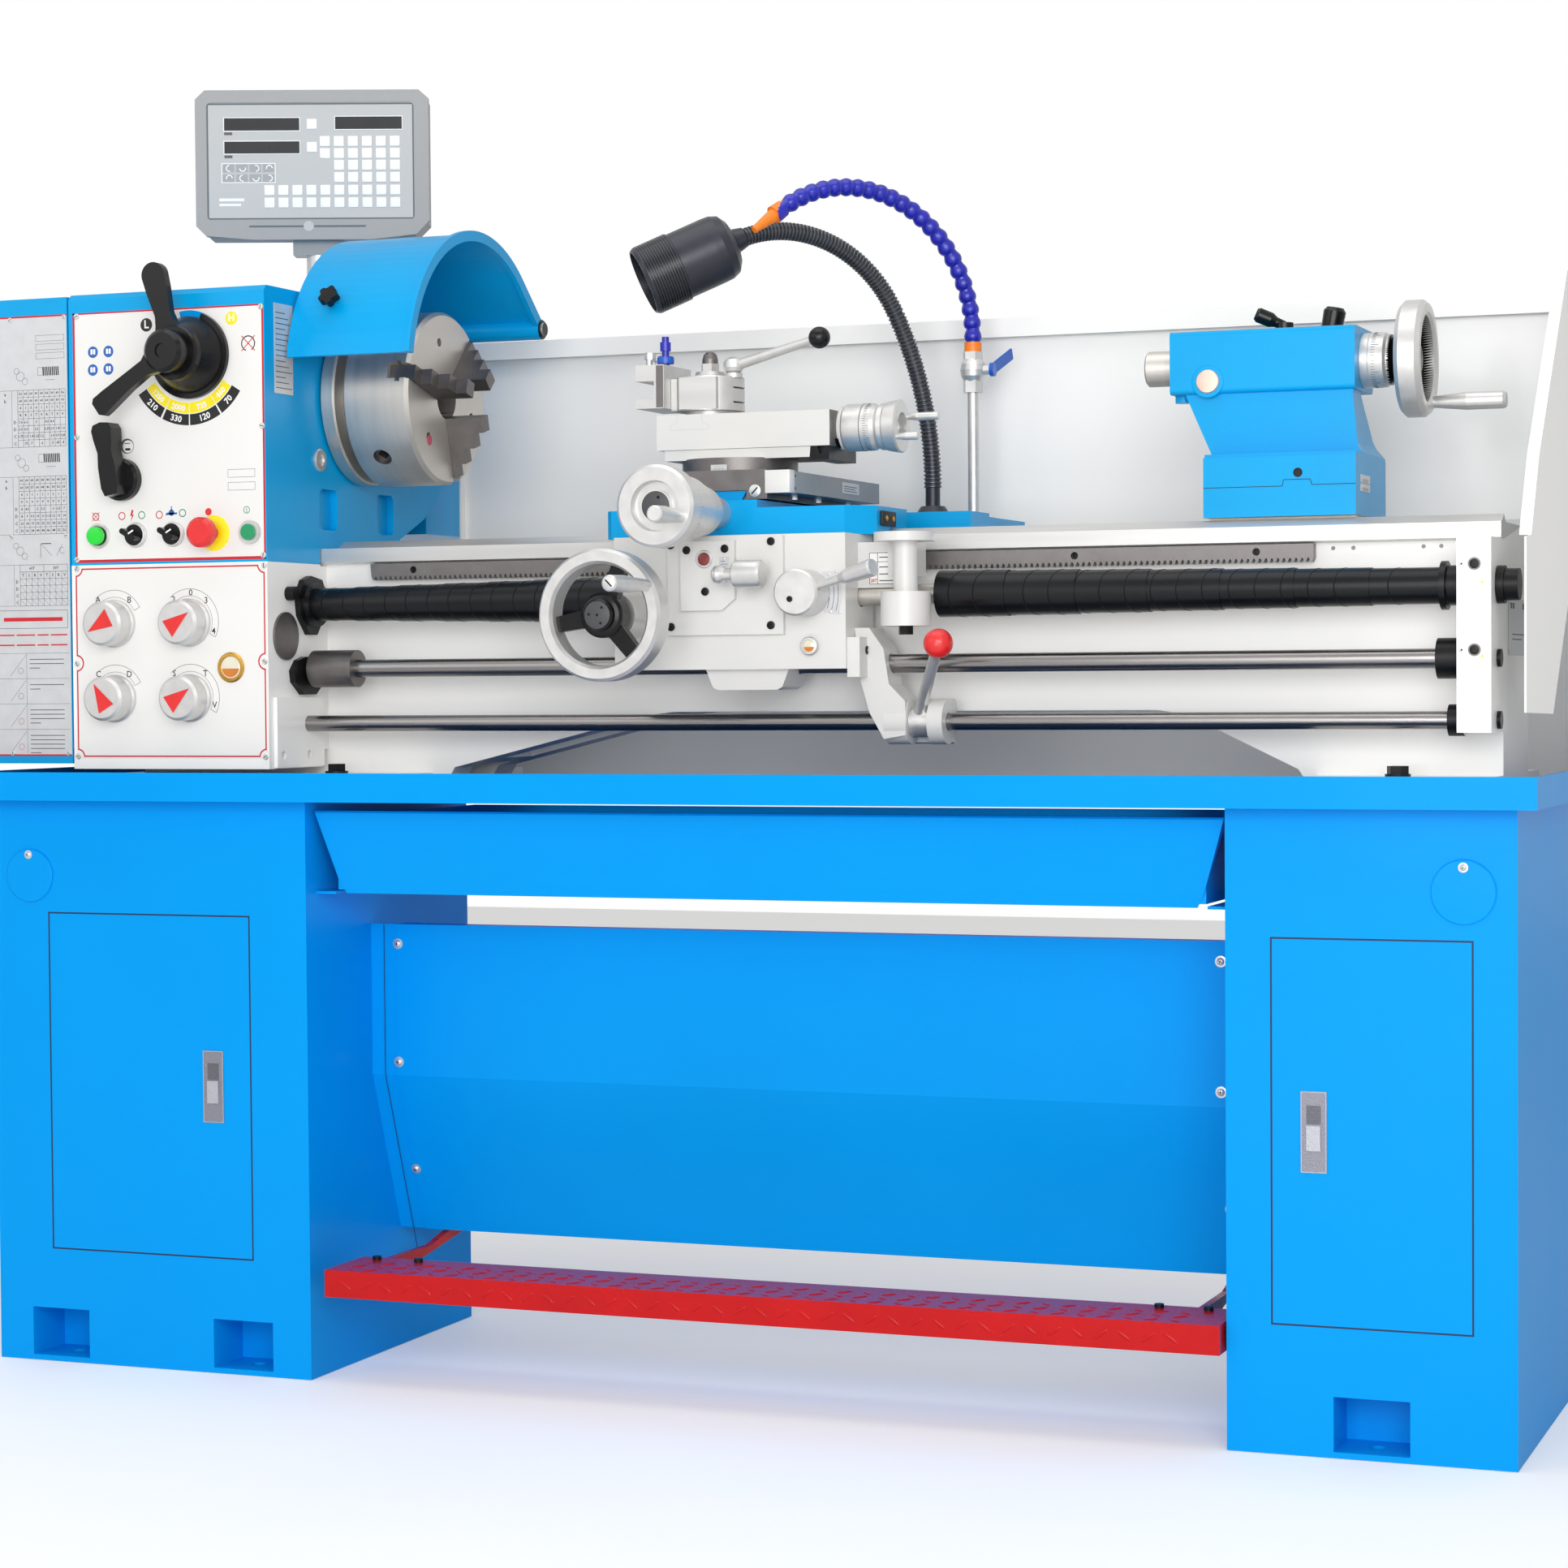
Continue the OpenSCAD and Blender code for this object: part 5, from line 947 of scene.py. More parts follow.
marks = []
for i in range(9):
    x = LEFT + 7.06 * (i + 0.5)
    marks += column_marks(TOP_TABLE[i], x, 1114, 8.12, 3.1)
    marks += column_marks(LOW_TABLE[i], x, 1015, 8.25, 3.1)
for top, pitch in ((1114, 8.12), (1015, 8.25)):
    marks += column_marks("a b _ _", -854, top, pitch, 4.2)
    marks += column_marks("_ _ _ _ D D C C", -841, top, pitch, 3.8)
marks += column_marks("_ _ D D C C", -841, 914, 7.85, 3.8)
marks += [("60T", LEFT + 16, 910, 3.6, 0), ("30T", LEFT + 48, 910, 3.6, 0)]
marks += [(letter, LEFT + 7.94 * (i + 0.5), 902, 3.6, 0) for i, letter in enumerate("TSRVTSRV")]
settle(figures(marks, INK, ink_black, bold=0.08, fine=1), "chart_numbers", "cover")
print(len(marks), "chart entries")

# %% [markdown]
# Each diagram has three meshing circles for the gears, and a short threaded bar: a plain end, then
# dark slanting threads with a pitch line below. The small print under them is too fine to read, so
# each row of it is one plain stroke of the right length.

# %% Diagrams and rows of small print
sketch = []
for z in (1130, 1031):
    sketch += [on_cover(ink_grey, ring, x, z + dz, r - 0.4, r, sides=20)
               for x, dz, r in ((-838, 6, 3.6), (-833, 0, 5.4), (-827, -6, 3.8))]
    sketch.append(on_cover(ink_grey, box_frame, -810, -803, z, z + 9.6, 0.4))
    for i in range(9):
        x = -802.4 + 2.45 * i
        sketch.append(on_cover(ink_black, line, x + 0.6, z - 0.2, x, z + 9.8, 1.45))
    sketch.append(on_cover(ink_grey, line, -800, z - 5, -787, z - 5, 0.4))
sketch += [on_cover(ink_grey, ring, x, z, r - 0.4, r, sides=20)
           for x, z, r in ((-842, 936, 3.6), (-836.5, 930, 5.0), (-830.5, 924, 3.8))]
sketch += [on_cover(ink_grey, line, -809, 938, -794, 924, 0.4),
           on_cover(ink_grey, line, -809, 922, -809, 938, 0.6),
           on_cover(ink_black, line, -808, 938, -795, 938, 0.9),
           on_cover(ink_grey, arc_band, -780, 930, 3.2, 3.6, 60, 330),
           on_cover(ink_grey, line, -788, 924, -780, 937, 0.4)]
for top, rows in ((812.6, 3), (783.5, 2), (754.5, 4), (725.2, 5)):
    for i in range(rows):
        reach, z = -780 if i < rows - 1 else -812, top - 7 - 5 * i
        sketch.append(on_cover(ink_grey, line, -826, z, reach, z, 0.9))
    sketch.append(on_cover(ink_grey, line, -852, top - 26, -831, top - 2, 0.35))
    sketch.append(on_cover(ink_red if top < 760 else ink_grey, ring, -838, top - 20, 3.2, 3.6,
                           sides=20))
sketch += [on_cover(ink_red, line, x0, z, x1, z, 1.6) for z in (833.5, 822)
           for x0, x1 in ((-868, -846), (-843, -818), (-815, -800), (-797, -775))]
sketch.append(on_cover(ink_red, line, -860, 851.5, -781, 851.5, 4.4))
settle(sketch, "chart_diagrams", "cover")
settle(screw_set(slotted(2.8, 1.4), -234.1, (
    (-846, 1195), (-774, 1195.5), (-848, 946.5), (-775, 946.5), (-850, 697.5), (-775, 697.5)),
    40, 53), "chart_screws", "cover")
print(len(sketch), "strokes in the diagrams")

# %% [markdown]
# ## Right face of the headstock
# A small rating plate and a round plug sit on the face toward the chuck. The plate keeps ruled
# rows and no wording. Pieces on a side face are built looking up, where their sizes are easy to
# read, and then turned to face along X.

# %% Rating plate and plug
rating = [tint(slab((-21, 21), (-50.5, 50.5), (0, 0.6), 0.2, 1), label_grey)]
rating += [tint(slab((-18, 18 - 7 * (i % 3)), (z - 0.5, z + 0.5), (0.5, 0.75), 0.05, 1), ink_grey)
           for i, z in enumerate(range(-44, 46, 6))]
settle([put(piece, -513.9, -192, 1151.5, TO_RIGHT @ spin(90)) for piece in rating],
       "rating_plate", "base")
settle(put(tint(turned([(13, 0), (13, 2.2), (12, 3), (7, 3), (6.4, 0.9)], 32), satin_steel),
           -513.9, -112, 1031.7, TO_RIGHT), "headstock_plug", "base")
print("headstock face ready")

# %% [markdown]
# ## Readout
# The readout's case is turned toward the operator, so its panel is modelled straight, in
# millimetres from the middle of the case, and then turned with it. That keeps every edge square
# and every number readable. Three dark windows have thin white frames.

# %% Readout panel and windows
DISPLAY = at(-695, 222, 0, spin(22))
PANEL = -32.5


def on_display(pieces, name):
    for piece in pieces:
        piece.data.transform(DISPLAY)
    settle(pieces, name, "readout")


# the panel's rim is a dark line of painted shade where it meets the case
rim = tint(box_frame(-133.5, 123.5, 1354.5, 1498, 1.6, PANEL, 0.25), edge_and_groove_shade)
parts = [tint(box(-132.5, 122.5, 1355.5, 1497, PANEL, 0.2), panel_grey), rim]
for x0, x1, z0, z1 in ((-112, -18.5, 1464.4, 1480), (-112, -18.5, 1436, 1451),
                       (26, 109, 1465.8, 1481.3)):
    parts.append(tint(box(x0, x1, z0, z1, PANEL - 0.2, 0.25), window_dark))
    parts.append(tint(box_frame(x0 - 0.9, x1 + 0.9, z0 - 0.9, z1 + 0.9, 0.9, PANEL - 0.2, 0.35),
                      ink_white))
parts += [tint(box(-112, -102, z, z + 3.4, PANEL - 0.2, 0.12), ink_grey) for z in (1459, 1430.5)]
on_display(parts, "readout_panel")
print("readout panel ready")

# %% [markdown]
# The keys are white rounded squares. One is modelled, and copied along six rows and beside two of
# the windows. A framed box with eight cells holds the hole-pattern symbols, and below them runs a
# groove, a dark strip of painted shade, with a round mark.

# %% Readout keys and symbols
KEY_PITCH = 17.4
key = tint(slab((-6.2, 6.2), (-6.2, 6.2), (0, 0.9), 1.5, 3), key_white)
places = [(100 - KEY_PITCH * k, z) for z, count in (
    (1451, 6), (1436, 6), (1421.4, 5), (1406.3, 5), (1390.5, 10), (1375, 10)) for k in range(count)]
places += [(-3, 1472.4), (-3, 1443.8)]
settle(strew(key, [DISPLAY @ at(x, PANEL - 0.1, z, TO_FRONT) for x, z in places]),
       "readout_keys", "readout")

cells = [tint(box_frame(-116, -48.6, 1399.6, 1424.2, 1.0, PANEL - 0.2, 0.2), ink_white)]
for column in range(4):
    for row in range(2):
        x, z, start = -107.2 + 16.6 * column, 1405.6 + 12.2 * row, 90 * ((column + row) % 4)
        cells += [tint(box(x - 7.2, x + 7.2, z - 4.9, z + 4.9, PANEL - 0.2, 0.1), cell_grey),
                  tint(arc_band(x + 1, z, 3.0, 4.3, start, start + 200, PANEL - 0.3, 0.1, 12),
                       ink_white)]
# the groove below the symbols is a dark strip of painted shade
cells += [tint(box(-82, 63, 1344.4, 1346.6, PANEL - 1.6, 0.2), edge_and_groove_shade),
          tint(disc(-8, 1345.6, 6.4, PANEL - 1.6, 0.3), panel_grey),
          tint(box(-119, -88, 1377, 1380.5, PANEL - 0.2, 0.12), ink_white),
          tint(box(-119, -92, 1371, 1374, PANEL - 0.2, 0.12), ink_white)]
on_display(cells, "readout_symbols")
print(len(places), "keys on the readout")

# %% [markdown]
# ## Apron and saddle
# Two stepped plates of the apron are held by socket screws. A dark red plug sits in the upper one,
# and an oil sight glass in the body below, made like the gearbox's: a turned ring, a turned glass,
# and a segment of amber for the oil. All of them ride with the carriage.

# %% Apron screws, plug and sight glass
spots = ((78.6, -206, 922.4), (77.9, -206, 833.5), (-37, -206, 920.7), (-37, -206, 833),
         (-15.5, -213, 914.6), (28.5, -213, 915.4), (5.7, -213, 870.1))
places = [at(x, y, z, TO_FRONT @ spin(20 + 41 * i)) for i, (x, y, z) in enumerate(spots)]
settle(strew(socket(4.4, 1.6), places), "apron_screws", "carriage")
window = [tint(turned([(9.6, 0), (9.6, 1.4), (8.6, 2.2), (7.2, 2.2), (6.8, 1.0)], 28), satin_steel),
          tint(turned([(6.8, 0.2), (6.8, 1.2), (6.2, 1.5)], 28), plug_red)]
window = [put(piece, 5, -213, 904.7, TO_FRONT) for piece in window]
sight = [tint(turned([(9.8, 0), (9.8, 1.6), (8.8, 2.6), (7.0, 2.8), (6.6, 1.2)], 28), satin_steel),
         tint(turned([(6.6, 0.2), (6.6, 1.4), (6.0, 1.8)], 28), sight_cream)]
sight = [put(piece, 120.2, -202.9, 811, TO_FRONT) for piece in sight]
sight.append(tint(plate(arc(120.2, 811, 5.8, 190, 350, 16), -204.8, 0.2), amber))
settle(window + sight, "apron_windows", "carriage")
print(len(places), "apron screws")

# %% [markdown]
# The half-nut handle points at a small scale, and its fan-shaped plate has three arcs. The fan is
# two arcs joined into one outline, so it needs no cutting. Both plates are riveted. The handle's
# own screw rides on the handle's body and turns with it.

# %% Apron scales and the half-nut screw
index = [tint(box(22, 33.6, 875, 907, -213, 0.5), label_grey)]
index += [tint(line(24, z, 31.6 - 3 * (i % 2), z, 0.5, -213.5, 0.05), ink_black)
          for i, z in enumerate(range(881, 903, 3))]
index.append(strew(rivet(1.5), [at(27.8, -213.4, z, TO_FRONT) for z in (877.4, 904.6)]))
curve = arc(90, 867, 66, 20, -21, 14) + arc(90, 867, 49.5, -24, 27, 14)
index.append(tint(plate(curve, -200, 0.6), label_grey))
index += [tint(arc_band(90, 867, r, r + 0.6, -18, 17, -200.6, 0.06), ink_grey)
          for r in (52, 57, 62)]
index.append(strew(rivet(1.6), [at(x, -200.5, z, TO_FRONT) for x, z in (
    (141.6, 886.5), (150, 889.5), (153.5, 846.5), (143.5, 846.8))]))
settle(index, "apron_scales", "carriage")
settle(put(socket(3.2, 1.5), 112.3, -240, 860.1, TO_FRONT), "halfnut_screw", "halfnut")
print("apron ready")

# %% [markdown]
# The thread dial's chart has a black border, two black rules and three red gear numbers. The end
# of the saddle's wing carries a way wiper with two brass pins, and the side of the rod bracket a
# pair of socket screws. All of these ride with the carriage, but the small scale for the swivel
# rides with the compound slide, which stands on the cross slide.

# %% Thread dial chart, way wiper and swivel scale
on_chart = printer(-160.4, 0.06)
chart = [tint(box(172, 202.2, 875.5, 910.6, -160, 0.4), sheet_white),
         on_chart(ink_black, box_frame, 172.6, 201.6, 876.1, 910, 0.7),
         on_chart(ink_black, line, 172.6, 900, 201.6, 900, 0.5),
         on_chart(ink_black, line, 182.2, 876.1, 182.2, 910, 0.5)]
chart += [figures([(text, 177.6, z, 3.6, 0)], -160.45, ink_red, bold=0.1)
          for text, z in (("32T", 894.5), ("30T", 887), ("28T", 880))]
chart += [on_chart(ink_grey, line, 184, z, 199.5, z, 1.1) for z in (904.8, 894.5, 887, 880)]
settle(chart, "dial_chart", "carriage")

wiper = [tint(slab((174.05, 177.5), (-129, -85), (940, 956), 1.2, 2), rubber),
         strew(tint(turned([(3, 0), (3, 1.0), (2.2, 1.8)], 16), brass),
               [at(177.3, y, 948, TO_RIGHT) for y in (-118, -96)])]
settle(wiper, "way_wiper", "carriage")
places = [at(174.02, y, z, TO_RIGHT) for y, z in ((-173.7, 806.4), (-147.9, 807.4))]
settle(strew(socket(4.4, 1.2), places), "bracket_screws", "carriage")

scale = [tint(box(-19, 0, 1002.4, 1010.2, -134, 0.5), label_grey)]
scale += [tint(line(x, 1003.4, x, 1006.4 if x % 2 else 1008, 0.3, -134.5, 0.05), ink_black)
          for x in range(-15, -3, 2)]
scale.append(strew(rivet(1.1), [at(x, -134.4, 1006.3, TO_FRONT) for x in (-17.4, -1.6)]))
settle(scale, "swivel_scale", "compound")
print("saddle ready")

# %% [markdown]
# ## Handwheels and slides
# The carriage handwheel has a dark centre disc with a few holes, and a slotted screw in the end of
# its handle. The cross-slide handwheel has the disc only. The holes are black discs laid on,
# painted shade for their depth, which keeps the mesh simple. The sleeves of the small wheels carry
# sixty graduations each, and every fifth is longer.

# %% Handwheel centres and graduated sleeves
def pierced(r, holes, hole_r, at_r):
    """a dark disc with a hole in its middle and more round it, at angles in degrees; the holes are
    black discs of painted shade
    """
    face = tint(turned([(r, 0), (r, 0.5), (r * 0.96, 0.8)], 36), motor_dark)
    hole = tint(turned([(hole_r, 0.7), (hole_r * 0.9, 0.95)], 12), black_plastic)
    spots = [at(at_r * cos(radians(a)), at_r * sin(radians(a)), 0) for a in holes] + [at(0, 0, 0)]
    return together([face, strew(hole, spots)])


def scale_marks(r, x0, lengths, depth=0.25, count=60):
    """graduations round a turned sleeve: upright lines spun about its axis, which is Z here"""
    marks = []
    for i in range(count):
        reach = lengths[1] if i % 5 else lengths[0]
        mark = slab((r - 0.1, r + depth), (-0.14, 0.14), (x0, x0 + reach), 0.02, 1)
        mark.data.transform(spin(360 * i / count))
        marks.append(mark)
    return tint(together(marks), ink_black)


cap = put(pierced(14.6, (55, 175, 295), 1.6, 9.5), -79, -305.9, 845, TO_FRONT)
tip = put(slotted(6.8, 1.2), -24.3, -398, 875.3, TO_FRONT @ spin(-45))
settle([cap, tip], "carriage_wheel_centre", "carriage_wheel")
settle(put(pierced(15.5, (70, 250), 1.8, 9.5), 0, -331.9, 956, TO_FRONT),
       "cross_wheel_centre", "cross_wheel")
settle(put(scale_marks(35, 40, (9, 5)), 0, -336, 956, Matrix.Rotation(radians(-90), 4, "X")),
       "cross_wheel_scale", "cross_wheel")
sleeve = put(scale_marks(25.4, 26, (6, 3.5)), 116.3, -70, 1050, TO_RIGHT)
rim = put(tint(turned([(26.05, 21.4), (26.15, 21.8), (26.05, 22.2)], 60), dark_steel),
          116.3, -70, 1050, TO_RIGHT)
settle([sleeve, rim], "top_handle_scale", "top_handle")
settle(put(scale_marks(28.6, 12, (8, 4)), 672.8, -15, 1105, TO_RIGHT),
       "tailstock_scale", "tail_wheel")
print("handwheels ready")

# %% [markdown]
# The scale beside the cross slide ends in a white block, and carries an engraved strip on its
# side. Three bolts hold it to the slide, and a slotted gib screw sits in the slide's front.

# %% Cross slide details
parts = [tint(slab((82.1, 83.4), (-159.5, -146), (976.2, 1000.8), 0.4, 2), cast_white),
         tint(slab((54.8, 83.4), (-162, -160.1), (976.2, 1000.8), 0.6, 2), cast_white),
         tint(slab((82, 82.7), (6, 60), (983.5, 996), 0.2, 1), label_grey)]
parts += [tint(slab((82.6, 82.85), (10, 52 - 6 * (i % 2)), (z, z + 0.9), 0.05, 1), ink_grey)
          for i, z in enumerate((986, 988.6, 991.2))]
parts += [strew(tint(turned([(1.6, 0), (1.2, 0.9)], 12), black_oxide),
                [at(82.0, -142.5, z, TO_RIGHT) for z in (981.5, 995)]),
          strew(tint(turned([(4.2, 0), (4.2, 5), (3.6, 6)], 6), satin_steel),
                [at(66, y, 971.4) for y in (-104, -30, 66)])]
settle(parts, "cross_scale_details", "cross")
settle(put(slotted(6.6, 1.0), 38, -148.4, 980, TO_FRONT @ spin(45)), "gib_screw", "cross")
print("cross slide ready")

# %% [markdown]
# The top slide's slot and seams are thin lines, laid on the faces where two castings meet. The
# tool holder has a blue height stop, three clamping screws in a row and a dark seat.

# %% Top slide and tool holder
def run(points, width, y, depth, ink):
    """a line that runs from point to point"""
    return [tint(line(*a, *b, width, y, depth), ink) for a, b in zip(points, points[1:])]


slots = run([(-66, 1067.2), (-66, 1059.6), (-75, 1054.6), (-75, 1050.8), (-28.6, 1050.8),
             (-28.6, 1054.6), (-37.4, 1059.6), (-37.4, 1067.2)], 0.7, -115, 0.12, label_grey)
slots += run([(-33, 1109), (-33, 1101), (-24.8, 1101)], 0.6, -92, 0.1, black_oxide)
slots += run([(-33, 1074.4), (-33, 1084), (-24.8, 1084)], 0.6, -92, 0.1, black_oxide)
settle(slots, "slot_outline", "topslide")

stop = [(4.4, 0), (9.6, 0.01), (9.6, 5.6), (8.8, 6.4), (4.4, 6.4)]
clamp = tint(turned([(5.6, 0), (5.6, 7), (4.8, 8.2)], 6), satin_steel)
settle([put(tint(turned(stop, 24), valve_blue), -89.3, -92, 1127),
        strew(clamp, [at(-106.3, y, 1130.6) for y in (-98, -73, -48)]),
        tint(slab((-92.5, -84.2), (-112.6, -111.6), (1077, 1123), 0.2, 1), dark_steel)],
       "holder_screws", "holder")
print("slides ready")

# %% [markdown]
# ## Lamp and hose
# The lamp's head has a band of fine ribs near its mouth, and a bright reflector with two steps.
# Both are turned pieces. The head points down at the work, so `on_lamp` gives a place along its
# axis with Z turned to the way it is aimed.

# %% Lamp ribs and reflector
aim = LAMP_AIM.to_track_quat("Z", "Y").to_matrix().to_4x4()


def on_lamp(distance):
    return Matrix.Translation(LAMP_BACK + LAMP_AIM * distance) @ aim


rib = turned([(39.0, 0), (39.95, 0.5), (39.95, 1.3), (39.0, 1.8)], 48)
ribs = strew(rib, [on_lamp(0.0745 + 0.0031 * i) for i in range(12)])
lens = turned([(34.7, 0), (34.7, 1.0), (33.4, 2.0), (24, 3.4), (23.2, 2.8), (13, 4.4),
               (12.4, 3.6)], 48)
lens.data.transform(on_lamp(0.1052))
settle([tint(ribs, black_plastic), tint(lens, lamp_glass)], "lamp_ribs_and_lens", "carriage")
print("lamp head ready")

# %% [markdown]
# The lamp's bent neck is wound with close rings. It follows two arcs, first a wide and then a
# tight one, in an upright plane through its foot. A curve modifier could bend a straight row of
# rings, but would bend each ring as well. `arc_place` gives the place of each ring instead: how
# far along the arc it is, and which way the arc points there.

# %% Neck rings
LAMP_FOOT = at(127, 190, 1000, spin(degrees(atan2(-195, -163))))
RING_PITCH = 4.6


def arc_place(cx, cz, r, angle):
    t = radians(angle)
    return at(cx + r * cos(t), 0, cz + r * sin(t), Matrix.Rotation(-t, 4, "Y"))


def along_arc(cx, cz, r, start, sweep):
    """evenly spaced places on an arc of the lamp's neck"""
    step = RING_PITCH / r * 180 / pi
    return [LAMP_FOOT @ arc_place(cx, cz, r, start - step * i)
            for i in range(int(r * radians(sweep) / RING_PITCH))]


turn_ring = turned([(9.6, 0), (10.35, 0.7), (10.35, 1.7), (9.6, 2.4)], 20)
lean, wide, tight = 28.4, 420, 160
cx, cz = wide - (wide - tight) * cos(radians(lean)), (wide - tight) * sin(radians(lean))
places = (along_arc(wide, 0, wide, 180, lean)
          + along_arc(cx, cz, tight, 180 - lean, 180 - lean - 66))
settle(tint(strew(turn_ring, places), neck_metal), "lamp_neck_rings", "carriage")
print(len(places), "rings on the neck")

# %% [markdown]
# The coolant hose is a row of jointed balls, each a turned shell whose narrow end fits the wide
# end of the last. The balls are spun in equal steps about the middle of the hose's arc.

# %% Hose balls
HOSE_FOOT = at(177, 190, 1168, spin(-127.5))
HOSE_R, HOSE_SWEEP, LINKS = 163, 125, 24
ball = turned([(7.4, -3.4), (9.3, -1.6), (10.2, 1.4), (10.2, 4.2), (9.2, 7.4), (7.6, 10.6)], 18)
places = []
for i in range(LINKS - 1):
    bend = Matrix.Rotation(radians(HOSE_SWEEP * i / (LINKS - 1)), 4, "Y")
    places.append(HOSE_FOOT @ at(HOSE_R, 0, 0) @ bend @ at(-HOSE_R, 0, 0))
settle(tint(strew(ball, places), hose_blue), "hose_links", "carriage")
print(len(places), "balls on the hose")

# %% [markdown]
# ## Screw covers
# A wound steel band covers the leadscrew on each side of the apron, and telescopes as the carriage
# moves. Each cover is a stepped tube round the screw. A boolean could cut its bore, but leaves
# ragged faces, so `bored` insets both end faces to the radius of the bore and bridges the two new
# faces, which takes out the middle cleanly.

# %% A helper that bores a tube
def bored(piece, r):
    """opens a hole right through a turned piece, between its two end faces"""
    heights = [face.center.z for face in piece.data.polygons]
    for end in (max(heights), min(heights)):
        pick(piece)
        for face in piece.data.polygons:
            face.select = abs(face.center.z - end) < 1e-6 and len(face.vertices) > 8
            if face.select:
                sides = len(face.vertices)
                edge = max(piece.data.vertices[v].co.xy.length for v in face.vertices)
        bpy.ops.object.mode_set(mode="EDIT")
        bpy.ops.mesh.select_mode(type="FACE")
        bpy.ops.mesh.inset(thickness=(edge - r * MM) * cos(pi / sides), use_individual=True)
        bpy.ops.object.mode_set(mode="OBJECT")
    for face in piece.data.polygons:
        face.select = len(face.vertices) > 8
    bpy.ops.object.mode_set(mode="EDIT")
    bpy.ops.mesh.bridge_edge_loops()
    bpy.ops.object.mode_set(mode="OBJECT")
    return smooth(outward(piece))


print("tubes can be bored")

# %% [markdown]
# The tube grows by a millimetre at each of seven steps, between two collars, and has oblique seams
# where the band laps over itself. On the machine a cover is fixed to the bed at one end and to the
# carriage at the other; here each cover is one piece that stays where it is built.

# %% Screw covers
COLLAR, THINNEST, BORE = 24.6, 18.5, 15.5
SEAM_PITCH, SEAM_LEAN = 27, radians(24)


def screw_cover(name, x0, x1, thick_right):
    """a cover from x0 to x1, in millimetres along the bed"""
    length, steps = x1 - x0, 7
    radii = [THINNEST + (k if thick_right else steps - 1 - k) for k in range(steps)]
    outline = [(COLLAR, 0), (COLLAR, 6), (radii[0], 6.01)]
    for k, r in enumerate(radii):
        outline.append((r, length * (k + 1) / steps if k < steps - 1 else length - 6.01))
        if k < steps - 1:
            outline.append((radii[k + 1], length * (k + 1) / steps + 0.01))
    outline += [(COLLAR, length - 6), (COLLAR, length)]
    tube = tint(bored(turned(outline, 40), BORE), band_steel)
    seams = []
    for s in range(SEAM_PITCH, SEAM_PITCH * int(length / SEAM_PITCH), SEAM_PITCH):
        r = radii[min(steps - 1, int(s / length * steps))]
        seam = turned([(r - 0.5, -0.7), (r + 0.35, -0.5), (r + 0.35, 0.5), (r - 0.5, 0.7)], 40)
        seam.data.transform(Matrix.Diagonal((1, 1 / cos(SEAM_LEAN), 1, 1)))
        put(seam, 0, 0, s, Matrix.Rotation(SEAM_LEAN, 4, "X"))
        seams.append(tint(seam, black_oxide))
    cover = put(together([tube] + seams), x0, -150, 865, TO_RIGHT)
    cover.name = cover.data.name = name
    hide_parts("screw_covers")
    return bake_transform(cover)


screw_cover("left_screw_cover", -501, -112, True)
screw_cover("right_screw_cover", 249, 784, False)
print("covers ready")

# %% [markdown]
# ## Tailstock
# The tailstock has a copper-coloured clamp plug in a blue boss, a hole over the step of its base
# seam drawn as a black disc of painted shade, and two small scale plates on its end that meet at
# the seam. The seam is a thin dark line of painted shade laid over the joint of the two castings,
# which the CAD keeps as one solid.

# %% Tailstock details
plug = tint(turned([(12.4, 0), (12.4, 1.0), (11.6, 1.8), (6, 2.0)], 32), copper)
# the hole is a black disc: painted shade
hole = tint(turned([(4.9, 0), (4.7, 0.5), (3.9, 0.5), (3.5, 0.2)], 24), black_oxide)
step = [(519.6, 972), (603, 972), (604.5, 978.6), (632.5, 978.6), (634, 972.8), (679.4, 972.8)]
# the seam's line is painted shade
joint = run(step, 0.8, -94, 0.12, seam_shade)
for z0, z1 in ((966, 974.4), (975, 983.5)):
    half = (z1 - z0) / 2
    tab = [tint(slab((-24, 24), (-half, half), (0, 0.8), 0.3, 1), label_grey),
           strew(rivet(1.3), [at(dx, 0, 0.8) for dx in (-19, 19)])]
    tab += [tint(slab((dx - 0.15, dx + 0.15), (1 - half, 0), (0.8, 0.9), 0.02, 1), ink_black)
            for dx in range(-12, 13, 3)]
    joint += [put(piece, 679.5, -46, (z0 + z1) / 2, TO_RIGHT @ spin(90)) for piece in tab]
boss = tint(turned([(17.2, 0), (16.6, 0.7), (12.6, 0.9)], 36), cast_blue)
settle([put(boss, 516.9, -63, 1085.7, TO_FRONT), put(plug, 516.9, -63, 1085.7, TO_FRONT),
        put(hole, 619.4, -94, 985.7, TO_FRONT)] + joint, "tailstock_details", "tailstock")
print(len(joint), "pieces at the seam")

# %% [markdown]
# ## Bed end and rack
# The bracket that carries the rods has socket screws in counterbores, each with a dowel beside it,
# and two brass pins. Each kind is modelled once and copied to its heights. The bed's end wears a
# small riveted plate, and the rack is held by socket screws.

# %% Bracket screws, rack screws and the plate on the bed's end
def at_front(x, y, *heights):
    """places in a column that face the operator"""
    return [at(x, y, z, TO_FRONT) for z in heights]


settle([strew(tint(turned([(6.4, 0), (6.4, 0.6), (5.6, 0.6), (5.5, 0.15)], 28), dark_steel),
              at_front(816.6, -190, 885, 800)),
        strew(socket(4.8, 1.2), at_front(816.6, -189.9, 885, 800)),
        strew(tint(turned([(3.0, 0), (3.0, 0.5), (2.4, 0.7)], 18), satin_steel),
              at_front(804.1, -190, 885, 800)),
        strew(tint(turned([(1.2, 0.5), (1.0, 0.85)], 12), black_oxide),
              at_front(804.1, -190, 885, 800)),
        strew(tint(turned([(1.6, 0), (1.4, 0.5)], 14), brass),
              at_front(824.2, -190, 866.7, 793.6))], "bracket_end_screws", "base")

